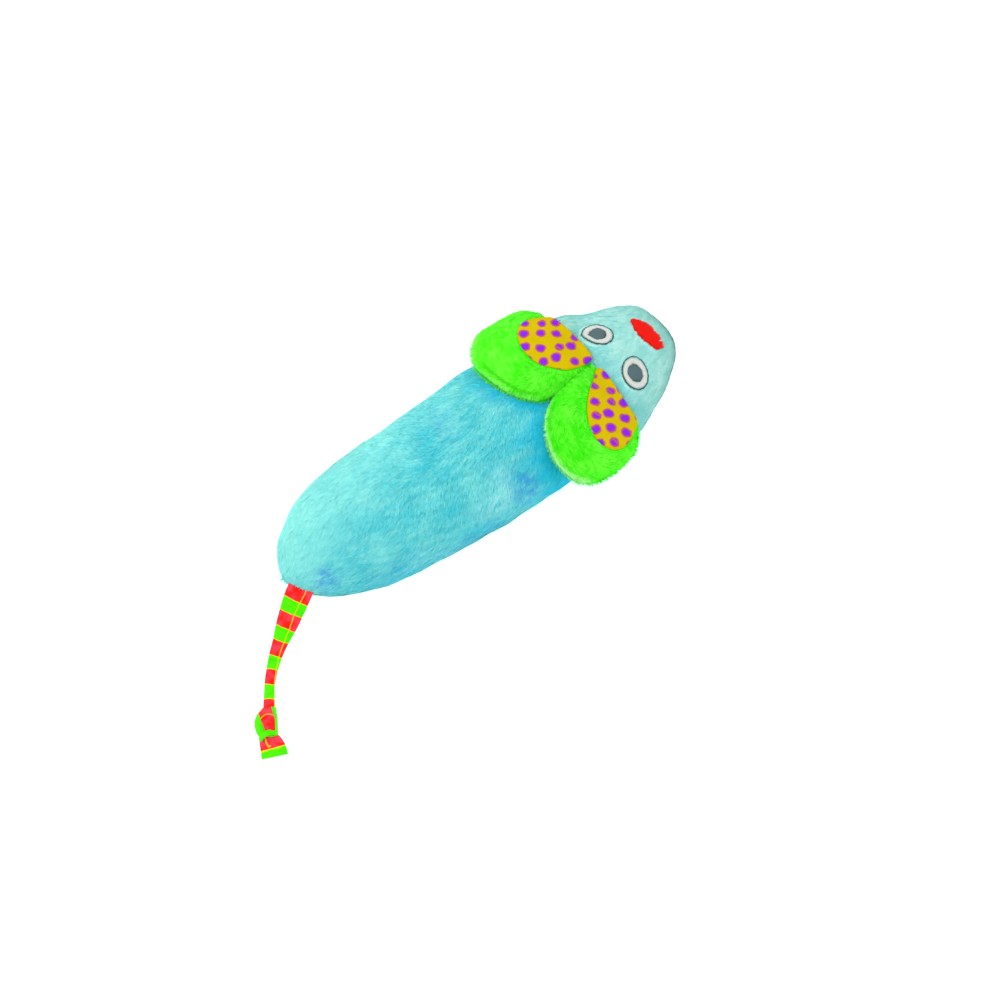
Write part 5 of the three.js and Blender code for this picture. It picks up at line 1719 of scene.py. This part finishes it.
    def flare(self):
        """The square-cut end of the ribbon, opening out of the knot to its green hem."""
        rows, columns = FLARE_GRID
        down, side = np.linspace(0, 1, rows)[:, None], np.linspace(0, 1, columns)[None]
        corners = np.array(FLARE_CORNERS)
        flat = (1 - down)[..., None] * (corners[0] + (corners[1] - corners[0]) * side[..., None])
        flat = flat + down[..., None] * (corners[2] + (corners[3] - corners[2]) * side[..., None])
        flat[..., 1] -= 1.1 * np.sin(math.pi * down**0.8) * smoothstep(side, 0.3, 1)
        bulge = np.sin(math.pi * side) * (1 - down) ** 1.5
        inner = np.sin(math.pi * np.clip(side, 0.02, 0.98)) ** 0.5
        fold = 0.45 * np.sin(TURN * 1.3 * side + 0.6) * (1 - 0.6 * down) * inner
        height = 1.25 + 2.2 * bulge + 0.5 * fold
        line = self.on_knot(flat[..., 0], flat[..., 1], np.maximum(height, 0.5))
        green_from = 0.63 - 0.08 * side**2
        red_run = self.ribbon.red * (0.2 + 0.8 * down / green_from)
        green_run = self.ribbon.red + (down - green_from) * 0.5 * self.ribbon.green
        hem = self.ribbon.thickness * (1 + 0.8 * smoothstep(down - green_from, 0, 0.04))
        values = {
            "run": np.where(down < green_from, red_run, green_run),
            "side": side + 0 * down,
            "line": self.mark(flat) * MM,
        }
        up = hem[..., None] / 2 * [0, 0, 1]
        piece = strip_mesh("tail_flare", line + up, line - up, self.finish, values)
        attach(piece, "tail_tip")
        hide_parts("tail_end")

    def mark(self, flat):
        """How far places on the flared end are from its short yellow line, in millimetres."""
        ends = np.array(MARK_ROUTE)
        away = []
        for a, b in zip(ends, ends[1:]):
            share = np.clip(((flat - a) @ (b - a)) / ((b - a) @ (b - a)), 0, 1)
            away.append(np.linalg.norm(flat - a - share[..., None] * (b - a), axis=2))
        return np.min(away, axis=0)


# Insides

# How far a seam tab is pressed under the skins, how far ahead of it and behind it their heights are taken,
# and how far it is lowered where no skin is there
TAB_UNDER, TAB_BESIDE, TAB_DROP = 1.2 * MM, 2.5 * MM, 6 * MM
FILLING_WHITE, MUSLIN = linear(245, 245, 240), linear(230, 221, 196)


class MOUSE_OT_insides(bpy.types.Operator):
    """Finishes the pieces that the skins hide: fillings, pouch, threads and the ears' seam tabs"""

    bl_idname = "mouse.insides"
    bl_label = "Fillings and threads"

    def execute(self, context):
        colours, threads = setting("mouse_plush"), setting("mouse_thread")
        finishes = {
            "filling": loose_fibre("fibre_filling", FILLING_WHITE),
            "batting": loose_fibre("ear_batting", FILLING_WHITE),
            "pouch": loose_fibre("muslin_pouch", MUSLIN),
            "thread": satin_thread("sewing_thread", threads.seam),
            "stitches": satin_thread("closing_thread", threads.seam),
            "seam_tab": knit_backing("tab_backing", colours.ear, darker(colours.ear, 0.7)),
        }
        for name, piece in frame["nodes"].items():
            for ending, material in finishes.items():
                if name.endswith(ending):
                    piece.data.materials.clear()
                    piece.data.materials.append(material)
        for word in ("left", "right"):
            self.tucked_tab(f"ear_{word}_seam_tab", finishes["seam_tab"])
        return {"FINISHED"}

    def tucked_tab(self, node, material):
        """A copy of an ear's seam tab, pressed down so that it stays inside the neck seam."""
        tree = tree_of("back_panel", "head_top_panel")
        mesh = frame["nodes"][node].data.copy()
        for vertex in mesh.vertices:
            x, y, z = vertex.co
            beside = [height_at(tree, x + step, y) for step in (-TAB_BESIDE, TAB_BESIDE)]
            heights = [height - TAB_UNDER for height in beside if height is not None]
            vertex.co.z = min(z, *heights) if heights else z - TAB_DROP
        mesh.materials.clear()
        mesh.materials.append(material)
        piece = new_piece(f"{node}_cloth", mesh)
        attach(piece, "root")
        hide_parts(node)


# The panel, and the add-on's start and end


class MOUSE_PT_panel(bpy.types.Panel):
    """Lists the toy's settings and the buttons that build it"""

    bl_idname = "MOUSE_PT_panel"
    bl_label = "Mouse Toy"
    bl_space_type = "VIEW_3D"
    bl_region_type = "UI"
    bl_category = "Mouse Toy"

    def draw(self, context):
        layout = self.layout
        for name, group in SETTINGS.items():
            box = layout.box()
            box.label(text=group.__name__)
            for key in group.__annotations__:
                box.prop(setting(name), key)
        for operator in OPERATORS:
            layout.operator(operator.bl_idname)


OPERATORS = (
    MOUSE_OT_stage,
    MOUSE_OT_tail,
    MOUSE_OT_body,
    MOUSE_OT_head,
    MOUSE_OT_ears,
    MOUSE_OT_face,
    MOUSE_OT_insides,
)


def register():
    """Registers the settings, the operators and the panel."""
    for group in SETTINGS.values():
        bpy.utils.register_class(group)
    for operator in OPERATORS:
        bpy.utils.register_class(operator)
    bpy.utils.register_class(MOUSE_PT_panel)
    for name, group in SETTINGS.items():
        setattr(bpy.types.Scene, name, PointerProperty(type=group))


def unregister():
    """Undoes what register does."""
    for name in SETTINGS:
        delattr(bpy.types.Scene, name)
    bpy.utils.unregister_class(MOUSE_PT_panel)
    for operator in reversed(OPERATORS):
        bpy.utils.unregister_class(operator)
    for group in reversed(SETTINGS.values()):
        bpy.utils.unregister_class(group)


def main():
    """Builds the whole toy and its stage."""
    register()
    for operator in OPERATORS:
        group, name = operator.bl_idname.split(".")
        getattr(getattr(bpy.ops, group), name)()


if __name__ == "__main__":
    main()
